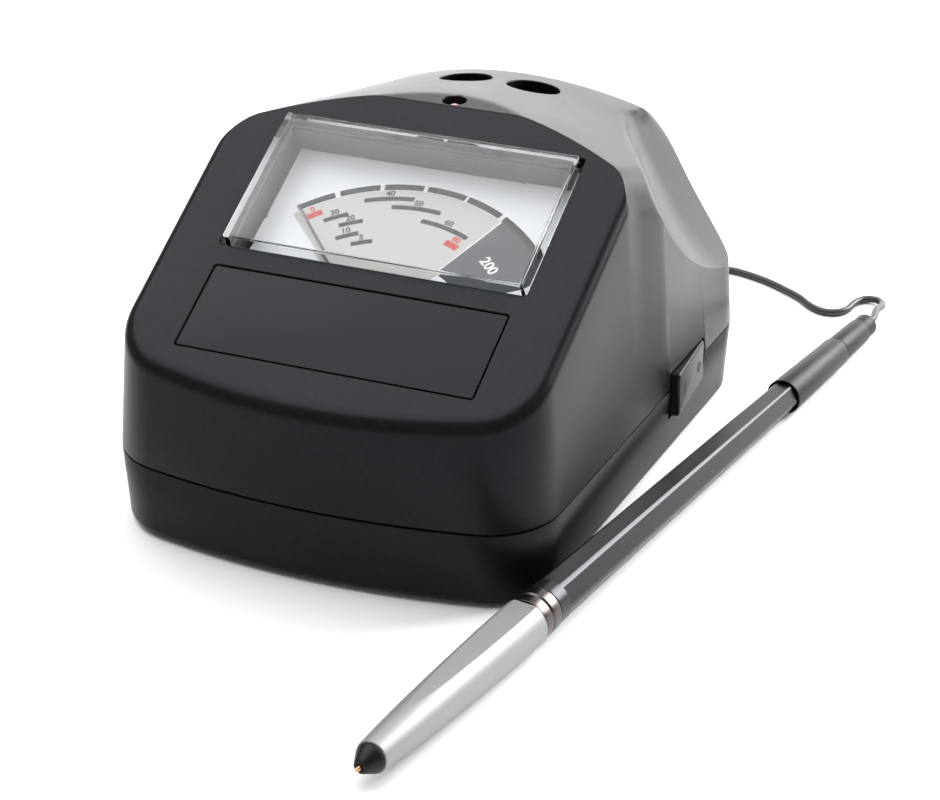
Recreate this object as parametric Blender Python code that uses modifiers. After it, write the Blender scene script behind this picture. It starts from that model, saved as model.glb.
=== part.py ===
# Diamond tester with a sloping meter panel and a pen probe on a thin cord.
# Metres, +Z up, the table at Z = 0. The tester's front faces -Y.
import math

import bmesh
import bpy
import numpy as np
from mathutils import Matrix, Vector

# General fits
GAP = 0.0003                 # running gap between neighbouring pieces
OVERRUN = 0.004              # how far a cutter runs past what it cuts
MERGE_REACH = 0.00001        # points closer than this are one

# Plan outline of the case, at the parting line
FRONT_HALF_WIDTH = 0.04956   # where the sides meet the front line
SIDE_SPREAD_SHARE = 0.05     # how far each side leans out, per metre of depth
BODY_DEPTH = 0.140
FRONT_BOW_RADIUS = 0.179
FRONT_CORNER_RADIUS = 0.0167
REAR_BOW_RADIUS = 0.160
REAR_CORNER_RADIUS = 0.0177
FRONT_BOW_STEPS = 4
FRONT_CORNER_STEPS = 6
SIDE_STEPS = 15
REAR_CORNER_STEPS = 6
REAR_BOW_STEPS = 4

# Case heights
FOOT_GAP = 0.001             # under the base
BASE_HEIGHT = 0.017
PARTING_GAP = 0.0003
CASE_WALL = 0.0022
SHELL_DRAFT_SHARE = 0.070    # how far the upper walls lean in, for each metre of height
ROOF_WALL = 0.0028           # roof thickness, measured straight down
FLOOR_WALL = 0.003
BASE_DRAFT = 0.00095         # how far the base draws in at its foot
BASE_EDGE_RADIUS = 0.0015
LIP_WALL = 0.0012
LIP_HEIGHT = 0.0022

# Roof: sloping panel, crest facet, falling dome and side scoops
PANEL_FRONT_HEIGHT = 0.03827 # panel plane at Y = 0, above the base's foot
CREST_HEIGHT = 0.078
CREST_START_SHARE = 0.56917
CREST_START_Y = BODY_DEPTH * CREST_START_SHARE
PANEL_RISE_SHARE = (CREST_HEIGHT - PANEL_FRONT_HEIGHT) / CREST_START_Y
PANEL_EDGE_RADIUS = 0.0027
CREST_DEPTH = 0.00772        # front to back, on the centre plane
CREST_END_Y = CREST_START_Y + CREST_DEPTH
DOME_FALL_SHARE = 0.192
CROWN_FRONT_RADIUS = 0.1085
CROWN_REAR_SHARE = 0.857
CROWN_REAR_Y = BODY_DEPTH * CROWN_REAR_SHARE
CROWN_REAR_RADIUS = 0.087
SHOULDER_RADIUS = 0.0076
SCOOP_APEX_X = 0.0275
SCOOP_AXIS_SHARE = 0.8367
SCOOP_AXIS_Y = BODY_DEPTH * SCOOP_AXIS_SHARE
SCOOP_AXIS_DROP = 0.0035     # under the crest
SCOOP_SPREAD_SHARE = 0.419
SCOOP_FALL_SHARE = 0.224
SCOOP_HOLLOW_RADIUS = 0.0161
SCOOP_BLEND = 0.002
TAIL_START_SHARE = 0.907
TAIL_START_Y = BODY_DEPTH * TAIL_START_SHARE
TAIL_FALL_SHARE = 1.6
TAIL_BLEND = 0.006
SPINE_FRONT_SHARE = 0.3214
SPINE_FRONT_Y = BODY_DEPTH * SPINE_FRONT_SHARE
SPINE_REAR_SHARE = 0.743
SPINE_REAR_Y = BODY_DEPTH * SPINE_REAR_SHARE
ROOF_RING_SHARES = (0.03, 0.085, 0.15, 0.23, 0.36, 0.52, 0.74, 1.0)
INNER_RING_SHARES = (0.085, 0.23, 0.36, 0.52, 0.74, 1.0)
BLEND_SHARES = (0.12, 0.26, 0.42, 0.62, 0.82)
PROUD_RISE_SHARE = 0.6       # how fast the uncut roof rises above the panel plane

# Meter window and its movement, in the panel's own axes
PANEL_ORIGIN_Y = 0.0115
PANEL_LENGTH = (CREST_START_Y - PANEL_ORIGIN_Y) * math.hypot(1, PANEL_RISE_SHARE)
WINDOW_HALF_WIDTH = 0.0348
WINDOW_LOW_SHARE = 0.3767
WINDOW_LOW = PANEL_LENGTH * WINDOW_LOW_SHARE
WINDOW_HIGH_SHARE = 0.8676
WINDOW_HIGH = PANEL_LENGTH * WINDOW_HIGH_SHARE
WINDOW_GAP = 0.0008
COVER_PROUD = 0.00175
COVER_WALL = 0.0016
COVER_EDGE = 0.0008
METER_CASE_SIDE = 0.0016     # case reach beyond the window at each side
METER_CASE_BELOW = 0.0227    # case reach below and above the window
METER_CASE_ABOVE = 0.0011
METER_CASE_DEPTH = 0.0275
METER_CASE_WALL = 0.0014
DIAL_DEPTH = 0.0105          # dial face under the panel
DIAL_HALF_WIDTH = 0.0343
DIAL_BELOW = 0.0072          # dial reach below and above the window
DIAL_ABOVE = 0.0001
DIAL_LOW = WINDOW_LOW - DIAL_BELOW
DIAL_HIGH = WINDOW_HIGH + DIAL_ABOVE
DIAL_THICKNESS = 0.0006
DIAL_POST_RADIUS = 0.002
DIAL_POST_HALF_SPAN = 0.026
PIVOT_BELOW = 0.0091         # under the window
PIVOT_V = WINDOW_LOW - PIVOT_BELOW
PIVOT_NOTCH_RADIUS = 0.009
NEEDLE_LENGTH = 0.0400
NEEDLE_TAIL = 0.0075
NEEDLE_WIDTH = 0.0009
NEEDLE_THICKNESS = 0.0004
NEEDLE_LIFT = 0.0011         # above the dial face
NEEDLE_REST_DEG = 43.1       # left of straight up
HUB_RADIUS = 0.0024
HUB_HEIGHT = 0.0014
STAFF_RADIUS = 0.0006
BRIDGE_WIDTH = 0.005
BRIDGE_THICKNESS = 0.001
BRIDGE_LEG = 0.0016
COIL_SPAN = 0.0140
COIL_HEIGHT = 0.0112
COIL_WIRE = 0.0014
COIL_THICKNESS = 0.0022
COIL_CLEARANCE = 0.0006      # to the core inside it and to the magnet's bore
CORE_RADIUS = COIL_SPAN / 2 - COIL_WIRE - COIL_CLEARANCE
CORE_HEIGHT = 0.0078
MAGNET_BORE_RADIUS = math.hypot(COIL_SPAN, COIL_THICKNESS) / 2 + COIL_CLEARANCE
MAGNET_WALL = 0.0043
MAGNET_SIDE = 2 * (MAGNET_BORE_RADIUS + MAGNET_WALL)
MAGNET_WEB = 0.002

# Label plate
LABEL_HALF_WIDTH = 0.03375
LABEL_SHARE = 0.29
LABEL_HEIGHT = PANEL_LENGTH * LABEL_SHARE
LABEL_THICKNESS = 0.0007
LABEL_SINK = 0.0001          # plate face under the panel

# Lamp in the crest facet
LAMP_SETBACK = 0.0037        # from the crest's front
LAMP_Y = CREST_START_Y + LAMP_SETBACK
LAMP_HOLE_RADIUS = 0.00275
LAMP_RADIUS = 0.0018
LAMP_LENGTH = 0.0050
LAMP_SINK = 0.0016
LAMP_HOLDER_WALL = 0.0009
LAMP_FLANGE = 0.0010

# Reference wells in the dome
WELL_SETBACK = 0.0230        # from the crest's rear
WELL_Y = CREST_END_Y + WELL_SETBACK
WELL_HALF_SPAN = 0.0084
WELL_RADIUS = 0.0062
WELL_CUP_WALL = 0.0010
WELL_RIM_CHECKS = 16         # places round a cup's rim that must fit under the roof
WELL_DEPTH = 0.0121
DISC_THICKNESS = 0.0015
DISC_MARGIN = 0.0004

# Power rocker in the right side
ROCKER_LENGTH = 0.0203
ROCKER_HEIGHT = 0.0107
ROCKER_CENTRE_SHARE = 0.65464
ROCKER_CENTRE_Y = BODY_DEPTH * ROCKER_CENTRE_SHARE
ROCKER_LOW = 0.0100          # above the base's foot
ROCKER_PROUD = 0.00175
ROCKER_THICKNESS = 0.0060
ROCKER_EDGE = 0.0007
ROCKER_PIN_RADIUS = 0.0008
ROCKER_PIN_LENGTH = 0.0010
ROCKER_PIN_DEPTH = 0.0046    # behind the rocker's face
ROCKER_HOUSING_WALL = 0.0015
ROCKER_HOUSING_DEPTH = 0.0085
ROCKER_SLOT_GAP = 0.0006

# Posts, bosses and screws
POST_RADIUS = 0.0034
POST_FRONT_Y = 0.027
POST_REAR_X = 0.0470
POST_REAR_SHARE = 0.8
POST_REAR_Y = BODY_DEPTH * POST_REAR_SHARE
POST_CASE_GAP = 0.0015
POST_BURY = 0.0006
BOSS_TOP = 0.0165            # above the base's foot
SCREW_RADIUS = 0.0013
SCREW_HOLE_GAP = 0.0003
SCREW_HEAD_RADIUS = 0.0026
SCREW_HEAD_HEIGHT = 0.0018
SCREW_HEAD_DEPTH = 0.0008    # head face above the base's underside
SCREW_LENGTH = 0.0240
SCREW_SLOT = 0.0008

# Feet
FOOT_RADIUS = 0.0040
FOOT_SINK = 0.0009
FOOT_FRONT_X = 0.0300
FOOT_FRONT_Y = 0.0140
FOOT_REAR_X = 0.0463
FOOT_REAR_SHARE = 0.6857
FOOT_REAR_Y = BODY_DEPTH * FOOT_REAR_SHARE

# Battery bay, in the left rear of the base
CELL_RADIUS = 0.00525
CELL_LENGTH = 0.0433
CELL_NUB_RADIUS = 0.0019
CELL_NUB_LENGTH = 0.0010
CELL_COUNT = 3
CELL_PITCH = 0.0109
BAY_CENTRE_X = -0.0240
BAY_SETBACK = 0.0615         # its front, from the case's rear
BAY_FRONT_Y = BODY_DEPTH - BAY_SETBACK
BAY_WALL = 0.0012
CONTACT_THICKNESS = 0.0004
CONTACT_HEIGHT = 0.0085
DOOR_HALF_WIDTH = 0.0175
DOOR_FLANGE = 0.0011
DOOR_SKIN = 0.0010
DOOR_FLANGE_THICKNESS = 0.0009

# Circuit board in the right of the base
BOARD_LEFT = 0.0005
BOARD_RIGHT = 0.0375
BOARD_FRONT_SHARE = 0.257
BOARD_FRONT = BODY_DEPTH * BOARD_FRONT_SHARE
BOARD_REAR_SHARE = 0.8286
BOARD_REAR = BODY_DEPTH * BOARD_REAR_SHARE
BOARD_LIFT = 0.0070          # above the base's foot
BOARD_THICKNESS = 0.0016
PEG_RADIUS = 0.0025
PEG_INSET = 0.0040
CHIP_SIDE = 0.0120
CHIP_HEIGHT = 0.0020
CHIP_X_SHARE = 0.45
CHIP_Y_SHARE = 0.55
CAPACITOR_RADIUS = 0.0030
CAPACITOR_HEIGHT = 0.0075
CAPACITOR_X_SHARES = (0.25, 0.70)
CAPACITOR_Y_SHARE = 0.28
PLUG_LENGTH = 0.0100
PLUG_WIDTH = 0.0050
PLUG_HEIGHT = 0.0045
PLUG_X_SHARE = 0.60
PLUG_Y_SHARE = 0.85

# Rear sockets
SOCKET_X = 0.0050
SOCKET_HEIGHT = 0.0090       # above the base's foot
SOCKET_RADIUS = 0.0048
SOCKET_FLANGE = 0.0008
SOCKET_FLANGE_THICKNESS = 0.0010
SOCKET_BORE_RADIUS = 0.0030
SOCKET_PIN_RADIUS = 0.0008
SOCKET_LENGTH = 0.0105
SOCKET_END = 0.0015
GLAND_X = 0.0220
GLAND_HEIGHT = 0.0075        # above the base's foot
GLAND_RADIUS = 0.0026
GLAND_COLLAR = 0.0012
GLAND_COLLAR_THICKNESS = 0.0012
GLAND_TIP_RADIUS = 0.0015
GLAND_LENGTH = 0.0100        # outside the wall

# Probe, distances measured from its tip along its axis
PROBE_TIP_X = 0.0420
PROBE_TIP_Y = -0.0646
PROBE_HEADING_DEG = 9.23     # turned from +Y towards +X
PIN_RADIUS = 0.00045
PIN_LENGTH = 0.0140
PIN_SHOULDER_RADIUS = 0.0014
PIN_SHOULDER_LENGTH = 0.0010
PIN_SHOULDER_START = 0.0100
PIN_TRAVEL = 0.0012
PIN_GAP = 0.00025
TIP_START = 0.0013
TIP_END = 0.0049
TIP_FRONT_RADIUS = 0.0014
TIP_REAR_RADIUS = 0.00335
TIP_STEM_RADIUS = 0.0022
TIP_STEM_END = 0.0085
NOSE_END = 0.0611
NOSE_FRONT_RADIUS = 0.00345
NOSE_REAR_RADIUS = 0.00535
NOSE_SWELL_SHARES = ((0.12, 0.25), (0.3, 0.53), (0.55, 0.79), (0.8, 0.96), (0.96, 1.0))
NOSE_FACET_START = 0.0180
NOSE_FACET_DEPTH = 0.0007
COLLAR_LENGTH = 0.0063
COLLAR_END = NOSE_END + COLLAR_LENGTH
COLLAR_RADIUS = 0.0050
COLLAR_GROOVE = 0.0004
BARREL_LENGTH = 0.1131
BARREL_END = COLLAR_END + BARREL_LENGTH
BARREL_FRONT_RADIUS = 0.00478
BARREL_REAR_RADIUS = 0.00375
BARREL_FLATS = 6
BARREL_FLAT_DEPTH = 0.00040
BARREL_FLAT_SETBACK = 0.0041  # from the collar
BARREL_FLAT_START = COLLAR_END + BARREL_FLAT_SETBACK
BARREL_SPIGOT_RADIUS = 0.0030
BARREL_SPIGOT_LENGTH = 0.0080
BOOT_LENGTH = 0.0295
BOOT_END = BARREL_END + BOOT_LENGTH
BOOT_FRONT_RADIUS = 0.00425
BOOT_REAR_RADIUS = 0.00365
BOOT_LIP_WALL = 0.00035
BOOT_LIP_DEPTH = 0.0012
SLEEVE_LENGTH = 0.0140
SLEEVE_END = BOOT_END + SLEEVE_LENGTH
SLEEVE_FRONT_RADIUS = 0.0034
SLEEVE_REAR_RADIUS = 0.00315
END_CAP_LENGTH = 0.0050
END_CAP_END = SLEEVE_END + END_CAP_LENGTH
END_CAP_RADIUS = 0.0029
END_CAP_CHAMFER = 0.0008
PROBE_BORE_RADIUS = 0.0025
CORE_ROD_RADIUS = 0.0020
CORE_ROD_START = 0.0190
SPRING_RADIUS = 0.0014
SPRING_WIRE_RADIUS = 0.00022
SPRING_TURNS = 5

# Probe cord
CORD_RADIUS = 0.0009
CORD_REST = 0.00095          # cord axis above the table
CORD_SPACING = 0.0036
COIL_CENTRE = (0.0140, 0.0280)  # from the case's rear
COIL_OUTER_RADIUS = 0.0128
COIL_STEP = 0.0023           # between turns and between layers
COIL_TURNS_PER_LAYER = 3
COIL_LAYERS = 4
COIL_POINTS_PER_TURN = 24
TO_COIL_ROUTE = (            # from the case's rear
    (0.0252, 0.0147, 0.0062), (0.0258, 0.0172, 0.0036), (0.0263, 0.0197, 0.0016),
)
FROM_COIL_ROUTE = (          # from the case's rear
    (0.0264, 0.0330, 0.0076), (0.0269, 0.0362, 0.0056), (0.0278, 0.0397, 0.0028),
    (0.0296, 0.0430, 0.0012), (0.0325, 0.0453, 0.00095), (0.0364, 0.0460, 0.00095),
    (0.0415, 0.0447, 0.00095), (0.0470, 0.0425, 0.00095), (0.0522, 0.0395, 0.00095),
)
TO_PROBE_ROUTE = (           # from the probe's end
    (-0.0215, 0.0144, 0.00095), (-0.0179, 0.0109, 0.00095), (-0.0143, 0.0088, 0.00095),
    (-0.0106, 0.0092, 0.00095), (-0.0083, 0.0122, 0.00095), (-0.0078, 0.0159, 0.00095),
    (-0.0065, 0.0192, 0.00095), (-0.0037, 0.0204, 0.0011), (-0.0010, 0.0184, 0.0015),
    (0.0000, 0.0146, 0.0023), (-0.0002, 0.0098, 0.0033),
)


# Plan outline

def corner_centre(radius, bow_radius, bow_y, end):
    """Centre of a corner that touches the side line and the bow; end is -1 in front, +1 behind."""
    lean = math.sqrt(1 + SIDE_SPREAD_SHARE ** 2)
    start = FRONT_HALF_WIDTH - radius * lean
    slope = SIDE_SPREAD_SHARE
    reach = bow_radius - radius
    a = 1 + slope ** 2
    b = 2 * (start * slope - bow_y)
    c = start ** 2 + bow_y ** 2 - reach ** 2
    y = (-b + end * math.sqrt(b * b - 4 * a * c)) / (2 * a)
    return Vector((start + slope * y, y))


def outline_half():
    """Points and outward normals of the right half, from the front centre to the rear centre."""
    front_bow = Vector((0, FRONT_BOW_RADIUS))
    rear_bow = Vector((0, BODY_DEPTH - REAR_BOW_RADIUS))
    front_corner = corner_centre(FRONT_CORNER_RADIUS, FRONT_BOW_RADIUS, front_bow.y, -1)
    rear_corner = corner_centre(REAR_CORNER_RADIUS, REAR_BOW_RADIUS, rear_bow.y, 1)
    front_turn = math.atan2(*reversed(front_corner - front_bow))
    rear_turn = math.atan2(*reversed(rear_corner - rear_bow))
    side_turn = math.atan2(-SIDE_SPREAD_SHARE, 1)
    arcs = [
        (front_bow, FRONT_BOW_RADIUS, -math.pi / 2, front_turn, FRONT_BOW_STEPS),
        (front_corner, FRONT_CORNER_RADIUS, front_turn, side_turn, FRONT_CORNER_STEPS),
        (rear_corner, REAR_CORNER_RADIUS, side_turn, rear_turn, REAR_CORNER_STEPS),
        (rear_bow, REAR_BOW_RADIUS, rear_turn, math.pi / 2, REAR_BOW_STEPS),
    ]
    rows = []
    for centre, radius, start, end, steps in arcs:
        if centre is rear_corner:
            side_start = rows[-1][0]
            side_normal = Vector((math.cos(side_turn), math.sin(side_turn)))
            side_end = centre + side_normal * radius
            for i in range(1, SIDE_STEPS):
                rows.append((side_start.lerp(side_end, i / SIDE_STEPS), side_normal))
        first = 0 if not rows or centre is rear_corner else 1
        for i in range(first, steps + 1):
            turn = start + (end - start) * i / steps
            normal = Vector((math.cos(turn), math.sin(turn)))
            rows.append((centre + normal * radius, normal))
    return rows


HALF = outline_half()
OUTLINE = HALF + [(Vector((-p.x, p.y)), Vector((-n.x, n.y))) for p, n in reversed(HALF[1:-1])]


def outline(inset):
    """The plan outline drawn in by inset, anticlockwise from the front centre."""
    return [point - normal * inset for point, normal in OUTLINE]


def side_x(y):
    """The right side's outer face at y."""
    return FRONT_HALF_WIDTH + SIDE_SPREAD_SHARE * y


def rear_face(x):
    """Point and outward normal of the rear bow at x."""
    centre_y = BODY_DEPTH - REAR_BOW_RADIUS
    turn = math.acos(x / REAR_BOW_RADIUS)
    normal = Vector((math.cos(turn), math.sin(turn), 0))
    return Vector((0, centre_y, 0)) + normal * REAR_BOW_RADIUS, normal


# Roof height, above the base's foot

def soft_min(a, b, width):
    """The smaller of two heights, with the crease rounded over width."""
    if width <= 0 or abs(a - b) >= width:
        return min(a, b)
    return min(a, b) - (width - abs(a - b)) ** 2 / (4 * width)


def panel_height(y):
    return PANEL_FRONT_HEIGHT + PANEL_RISE_SHARE * y


def rounding(radius, inset):
    """How far a rounded edge lies under its flat, at a distance inset from the wall."""
    if inset >= radius:
        return 0.0
    return radius - math.sqrt(radius ** 2 - (radius - inset) ** 2)


def dome_height(x, y, inset, grow=0.0):
    """The dome behind the panel, with its shoulders, side scoops grown by grow, and tail."""
    share = (y - CREST_START_Y) / (CROWN_REAR_Y - CREST_START_Y)
    bend = (1 - share) / CROWN_FRONT_RADIUS + share / CROWN_REAR_RADIUS
    crown = CREST_HEIGHT - DOME_FALL_SHARE * (y - CREST_END_Y) - bend * x * x / 2
    crown -= rounding(SHOULDER_RADIUS, inset)
    tail_start = CREST_HEIGHT - DOME_FALL_SHARE * (TAIL_START_Y - CREST_END_Y)
    tail = tail_start - TAIL_FALL_SHARE * (y - TAIL_START_Y)
    crown = soft_min(crown, tail, TAIL_BLEND)
    out = abs(x) + grow - SCOOP_APEX_X
    reach = out / SCOOP_SPREAD_SHARE
    forward = max(0.0, SCOOP_AXIS_Y - y - grow)
    if reach > forward:
        scoop = CREST_HEIGHT - SCOOP_AXIS_DROP + SCOOP_FALL_SHARE * (SCOOP_AXIS_Y - y)
        scoop += out ** 2 / (2 * SCOOP_HOLLOW_RADIUS) - math.sqrt(reach ** 2 - forward ** 2)
        crown = soft_min(crown, scoop, SCOOP_BLEND)
    return crown


def edge_distance(x, y):
    here = Vector((x, y))
    return min((here - point).length for point, _ in OUTLINE)


def draw_in(x, y, grow=0.0):
    """How far the drafted wall has leaned in where it meets the roof."""
    sharp = min(dome_height(x, y, SHOULDER_RADIUS, grow), panel_height(y), CREST_HEIGHT)
    return SHELL_DRAFT_SHARE * (sharp - BASE_HEIGHT)


def roof_height(x, y):
    """The finished roof's height at a place inside the outline."""
    inset = max(0.0, edge_distance(x, y) - draw_in(x, y))
    return min(dome_height(x, y, inset), panel_height(y), CREST_HEIGHT)


# Scene helpers

def clear_scene():
    for old in list(bpy.data.objects):
        bpy.data.objects.remove(old, do_unlink=True)


clear_scene()
PARTS = bpy.data.collections.new("diamond_tester")
CUTTERS = bpy.data.collections.new("cutters")
bpy.context.scene.collection.children.link(PARTS)
bpy.context.scene.collection.children.link(CUTTERS)


def make_material(name, colour, roughness, metallic=0.0, alpha=1.0):
    material = bpy.data.materials.new(name)
    material.use_nodes = True
    shader = material.node_tree.nodes["Principled BSDF"]
    shader.inputs["Base Color"].default_value = (*colour, 1)
    shader.inputs["Roughness"].default_value = roughness
    shader.inputs["Metallic"].default_value = metallic
    shader.inputs["Alpha"].default_value = alpha
    return material


MATERIALS = {
    "case_plastic": make_material("case_plastic", (0.020, 0.020, 0.022), 0.48),
    "label_plastic": make_material("label_plastic", (0.012, 0.012, 0.013), 0.35),
    "clear_plastic": make_material("clear_plastic", (0.92, 0.94, 0.95), 0.05, 0.0, 0.25),
    "meter_grey": make_material("meter_grey", (0.42, 0.43, 0.44), 0.5),
    "dial_paper": make_material("dial_paper", (0.86, 0.85, 0.82), 0.55),
    "needle_black": make_material("needle_black", (0.02, 0.02, 0.02), 0.4),
    "copper": make_material("copper", (0.72, 0.38, 0.22), 0.3, 1.0),
    "magnet_steel": make_material("magnet_steel", (0.35, 0.35, 0.37), 0.4, 1.0),
    "brass": make_material("brass", (0.75, 0.58, 0.30), 0.3, 1.0),
    "lamp_red": make_material("lamp_red", (0.22, 0.03, 0.02), 0.2),
    "black_plastic": make_material("black_plastic", (0.015, 0.015, 0.016), 0.4),
    "well_black": make_material("well_black", (0.008, 0.008, 0.008), 0.6),
    "disc_glass": make_material("disc_glass", (0.10, 0.16, 0.14), 0.1),
    "disc_metal": make_material("disc_metal", (0.65, 0.65, 0.66), 0.25, 1.0),
    "board_green": make_material("board_green", (0.02, 0.16, 0.07), 0.4),
    "screw_steel": make_material("screw_steel", (0.45, 0.45, 0.46), 0.3, 1.0),
    "foot_rubber": make_material("foot_rubber", (0.012, 0.012, 0.012), 0.85),
    "cell_wrap": make_material("cell_wrap", (0.10, 0.14, 0.22), 0.3),
    "contact_nickel": make_material("contact_nickel", (0.60, 0.58, 0.54), 0.25, 1.0),
    "probe_chrome": make_material("probe_chrome", (0.78, 0.78, 0.79), 0.12, 1.0),
    "collar_chrome": make_material("collar_chrome", (0.38, 0.36, 0.36), 0.15, 1.0),
    "probe_black": make_material("probe_black", (0.018, 0.018, 0.020), 0.25),
    "boot_rubber": make_material("boot_rubber", (0.045, 0.045, 0.048), 0.55),
    "cord_black": make_material("cord_black", (0.022, 0.022, 0.024), 0.5),
}


def empty(name, parent, place, rotation=None):
    holder = bpy.data.objects.new(name, None)
    PARTS.objects.link(holder)
    holder.parent = parent
    turn = rotation.to_4x4() if rotation else Matrix.Identity(4)
    holder.matrix_local = Matrix.Translation(place) @ turn
    return holder


def add(name, mesh, parent, place=(0, 0, 0), material=None, smooth=False):
    """Link a piece, or a cutter when it has no material."""
    piece = bpy.data.objects.new(name, mesh)
    piece.parent = parent
    piece.location = place
    if material:
        PARTS.objects.link(piece)
        mesh.materials.append(MATERIALS[material])
    else:
        CUTTERS.objects.link(piece)
        piece.hide_render = True
        piece.display_type = "WIRE"
    if smooth:
        mesh.shade_smooth()
        mesh.set_sharp_from_angle(angle=math.radians(35))
    return piece


def mesh_from(name, build):
    mesh = bpy.data.meshes.new(name)
    bm = bmesh.new()
    build(bm)
    bmesh.ops.recalc_face_normals(bm, faces=bm.faces)
    bm.to_mesh(mesh)
    bm.free()
    return mesh


def box(name, low, high, parent, material=None):
    """A box between two corners in its parent's axes; its origin is its centre."""
    low, high = Vector(low), Vector(high)

    def build(bm):
        bmesh.ops.create_cube(bm, size=1)
        bmesh.ops.scale(bm, vec=high - low, verts=bm.verts)

    return add(name, mesh_from(name, build), parent, (low + high) / 2, material)


def open_box(name, low, high, wall, open_side, parent, material):
    """A tub: a box open at +Z or -Z, with its wall inside the corners given."""
    piece = box(name, low, high, parent, material)
    bm = bmesh.new()
    bm.from_mesh(piece.data)
    lid = [face for face in bm.faces if face.normal.z * open_side > 0.5]
    bmesh.ops.delete(bm, geom=lid, context="FACES")
    bm.to_mesh(piece.data)
    bm.free()
    shell = piece.modifiers.new("wall", "SOLIDIFY")
    shell.thickness = wall
    shell.offset = -1
    return piece


def cylinder(name, radius, low, high, parent, place=(0, 0), material=None, segments=24):
    """An upright cylinder from low to high in its parent's axes."""
    def build(bm):
        bmesh.ops.create_cone(
            bm, cap_ends=True, segments=segments, radius1=radius, radius2=radius, depth=high - low)

    centre = (place[0], place[1], (low + high) / 2)
    return add(name, mesh_from(name, build), parent, centre, material, smooth=material is not None)


def turned(name, profile, parent, material=None, place=(0, 0, 0), segments=24, closed=False):
    """A turned piece: (radius, height) points down the outer side, and up the bore if closed."""
    mesh = bpy.data.meshes.new(name)
    points = [(radius, 0, height) for radius, height in profile]
    edges = [(i, i + 1) for i in range(len(points) - 1)]
    if closed:
        edges.append((len(points) - 1, 0))
    mesh.from_pydata(points, edges, [])
    piece = add(name, mesh, parent, place, material)
    spin = piece.modifiers.new("turn", "SCREW")
    spin.steps = segments
    spin.render_steps = segments
    spin.use_merge_vertices = True
    spin.merge_threshold = MERGE_REACH
    spin.use_smooth_shade = True
    return piece


def plate(name, points, thickness, parent, material=None, place=(0, 0, 0)):
    """A flat plate from a plan outline, centred on its own plane."""
    curve = bpy.data.curves.new(name, "CURVE")
    curve.dimensions = "2D"
    curve.fill_mode = "BOTH"
    curve.extrude = thickness / 2
    line = curve.splines.new("POLY")
    line.points.add(len(points) - 1)
    for slot, (x, y) in zip(line.points, points):
        slot.co = (x, y, 0, 1)
    line.use_cyclic_u = True
    drawn = bpy.data.objects.new(name + "_outline", curve)
    PARTS.objects.link(drawn)
    bpy.context.view_layer.update()
    evaluated = drawn.evaluated_get(bpy.context.evaluated_depsgraph_get())
    mesh = bpy.data.meshes.new_from_object(evaluated)
    bpy.data.objects.remove(drawn, do_unlink=True)
    bm = bmesh.new()
    bm.from_mesh(mesh)
    bmesh.ops.remove_doubles(bm, verts=bm.verts, dist=MERGE_REACH)
    bm.to_mesh(mesh)
    bm.free()
    mesh.name = name
    mesh.materials.clear()
    return add(name, mesh, parent, place, material)


def combine(target, tool, operation="DIFFERENCE"):
    change = target.modifiers.new(tool.name, "BOOLEAN")
    change.operation = operation
    change.object = tool
    change.solver = "EXACT"


def round_edges(piece, width, segments=2, angle_deg=40):
    edge = piece.modifiers.new("edges", "BEVEL")
    edge.width = width
    edge.segments = segments
    edge.limit_method = "ANGLE"
    edge.angle_limit = math.radians(angle_deg)


def loft(bm, rings):
    """Faces between rings of equal length, each split along its shorter diagonal."""
    rows = [[bm.verts.new(point) for point in ring] for ring in rings]
    for lower, upper in zip(rows, rows[1:]):
        for i in range(len(lower)):
            j = (i + 1) % len(lower)
            rising = (upper[j].co - lower[i].co).length
            falling = (upper[i].co - lower[j].co).length
            if rising < falling:
                bm.faces.new((lower[i], lower[j], upper[j]))
                bm.faces.new((lower[i], upper[j], upper[i]))
            else:
                bm.faces.new((lower[i], lower[j], upper[i]))
                bm.faces.new((lower[j], upper[j], upper[i]))
    return rows


def tube(name, points, radius, parent, material, resolution=2):
    """A round tube along points, with filled ends."""
    curve = bpy.data.curves.new(name, "CURVE")
    curve.dimensions = "3D"
    curve.bevel_depth = radius
    curve.bevel_resolution = resolution
    curve.use_fill_caps = True
    line = curve.splines.new("POLY")
    line.points.add(len(points) - 1)
    for slot, point in zip(line.points, points):
        slot.co = (*point, 1)
    line.use_smooth = True
    curve.materials.append(MATERIALS[material])
    piece = bpy.data.objects.new(name, curve)
    PARTS.objects.link(piece)
    piece.parent = parent
    return piece


# The case

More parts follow.
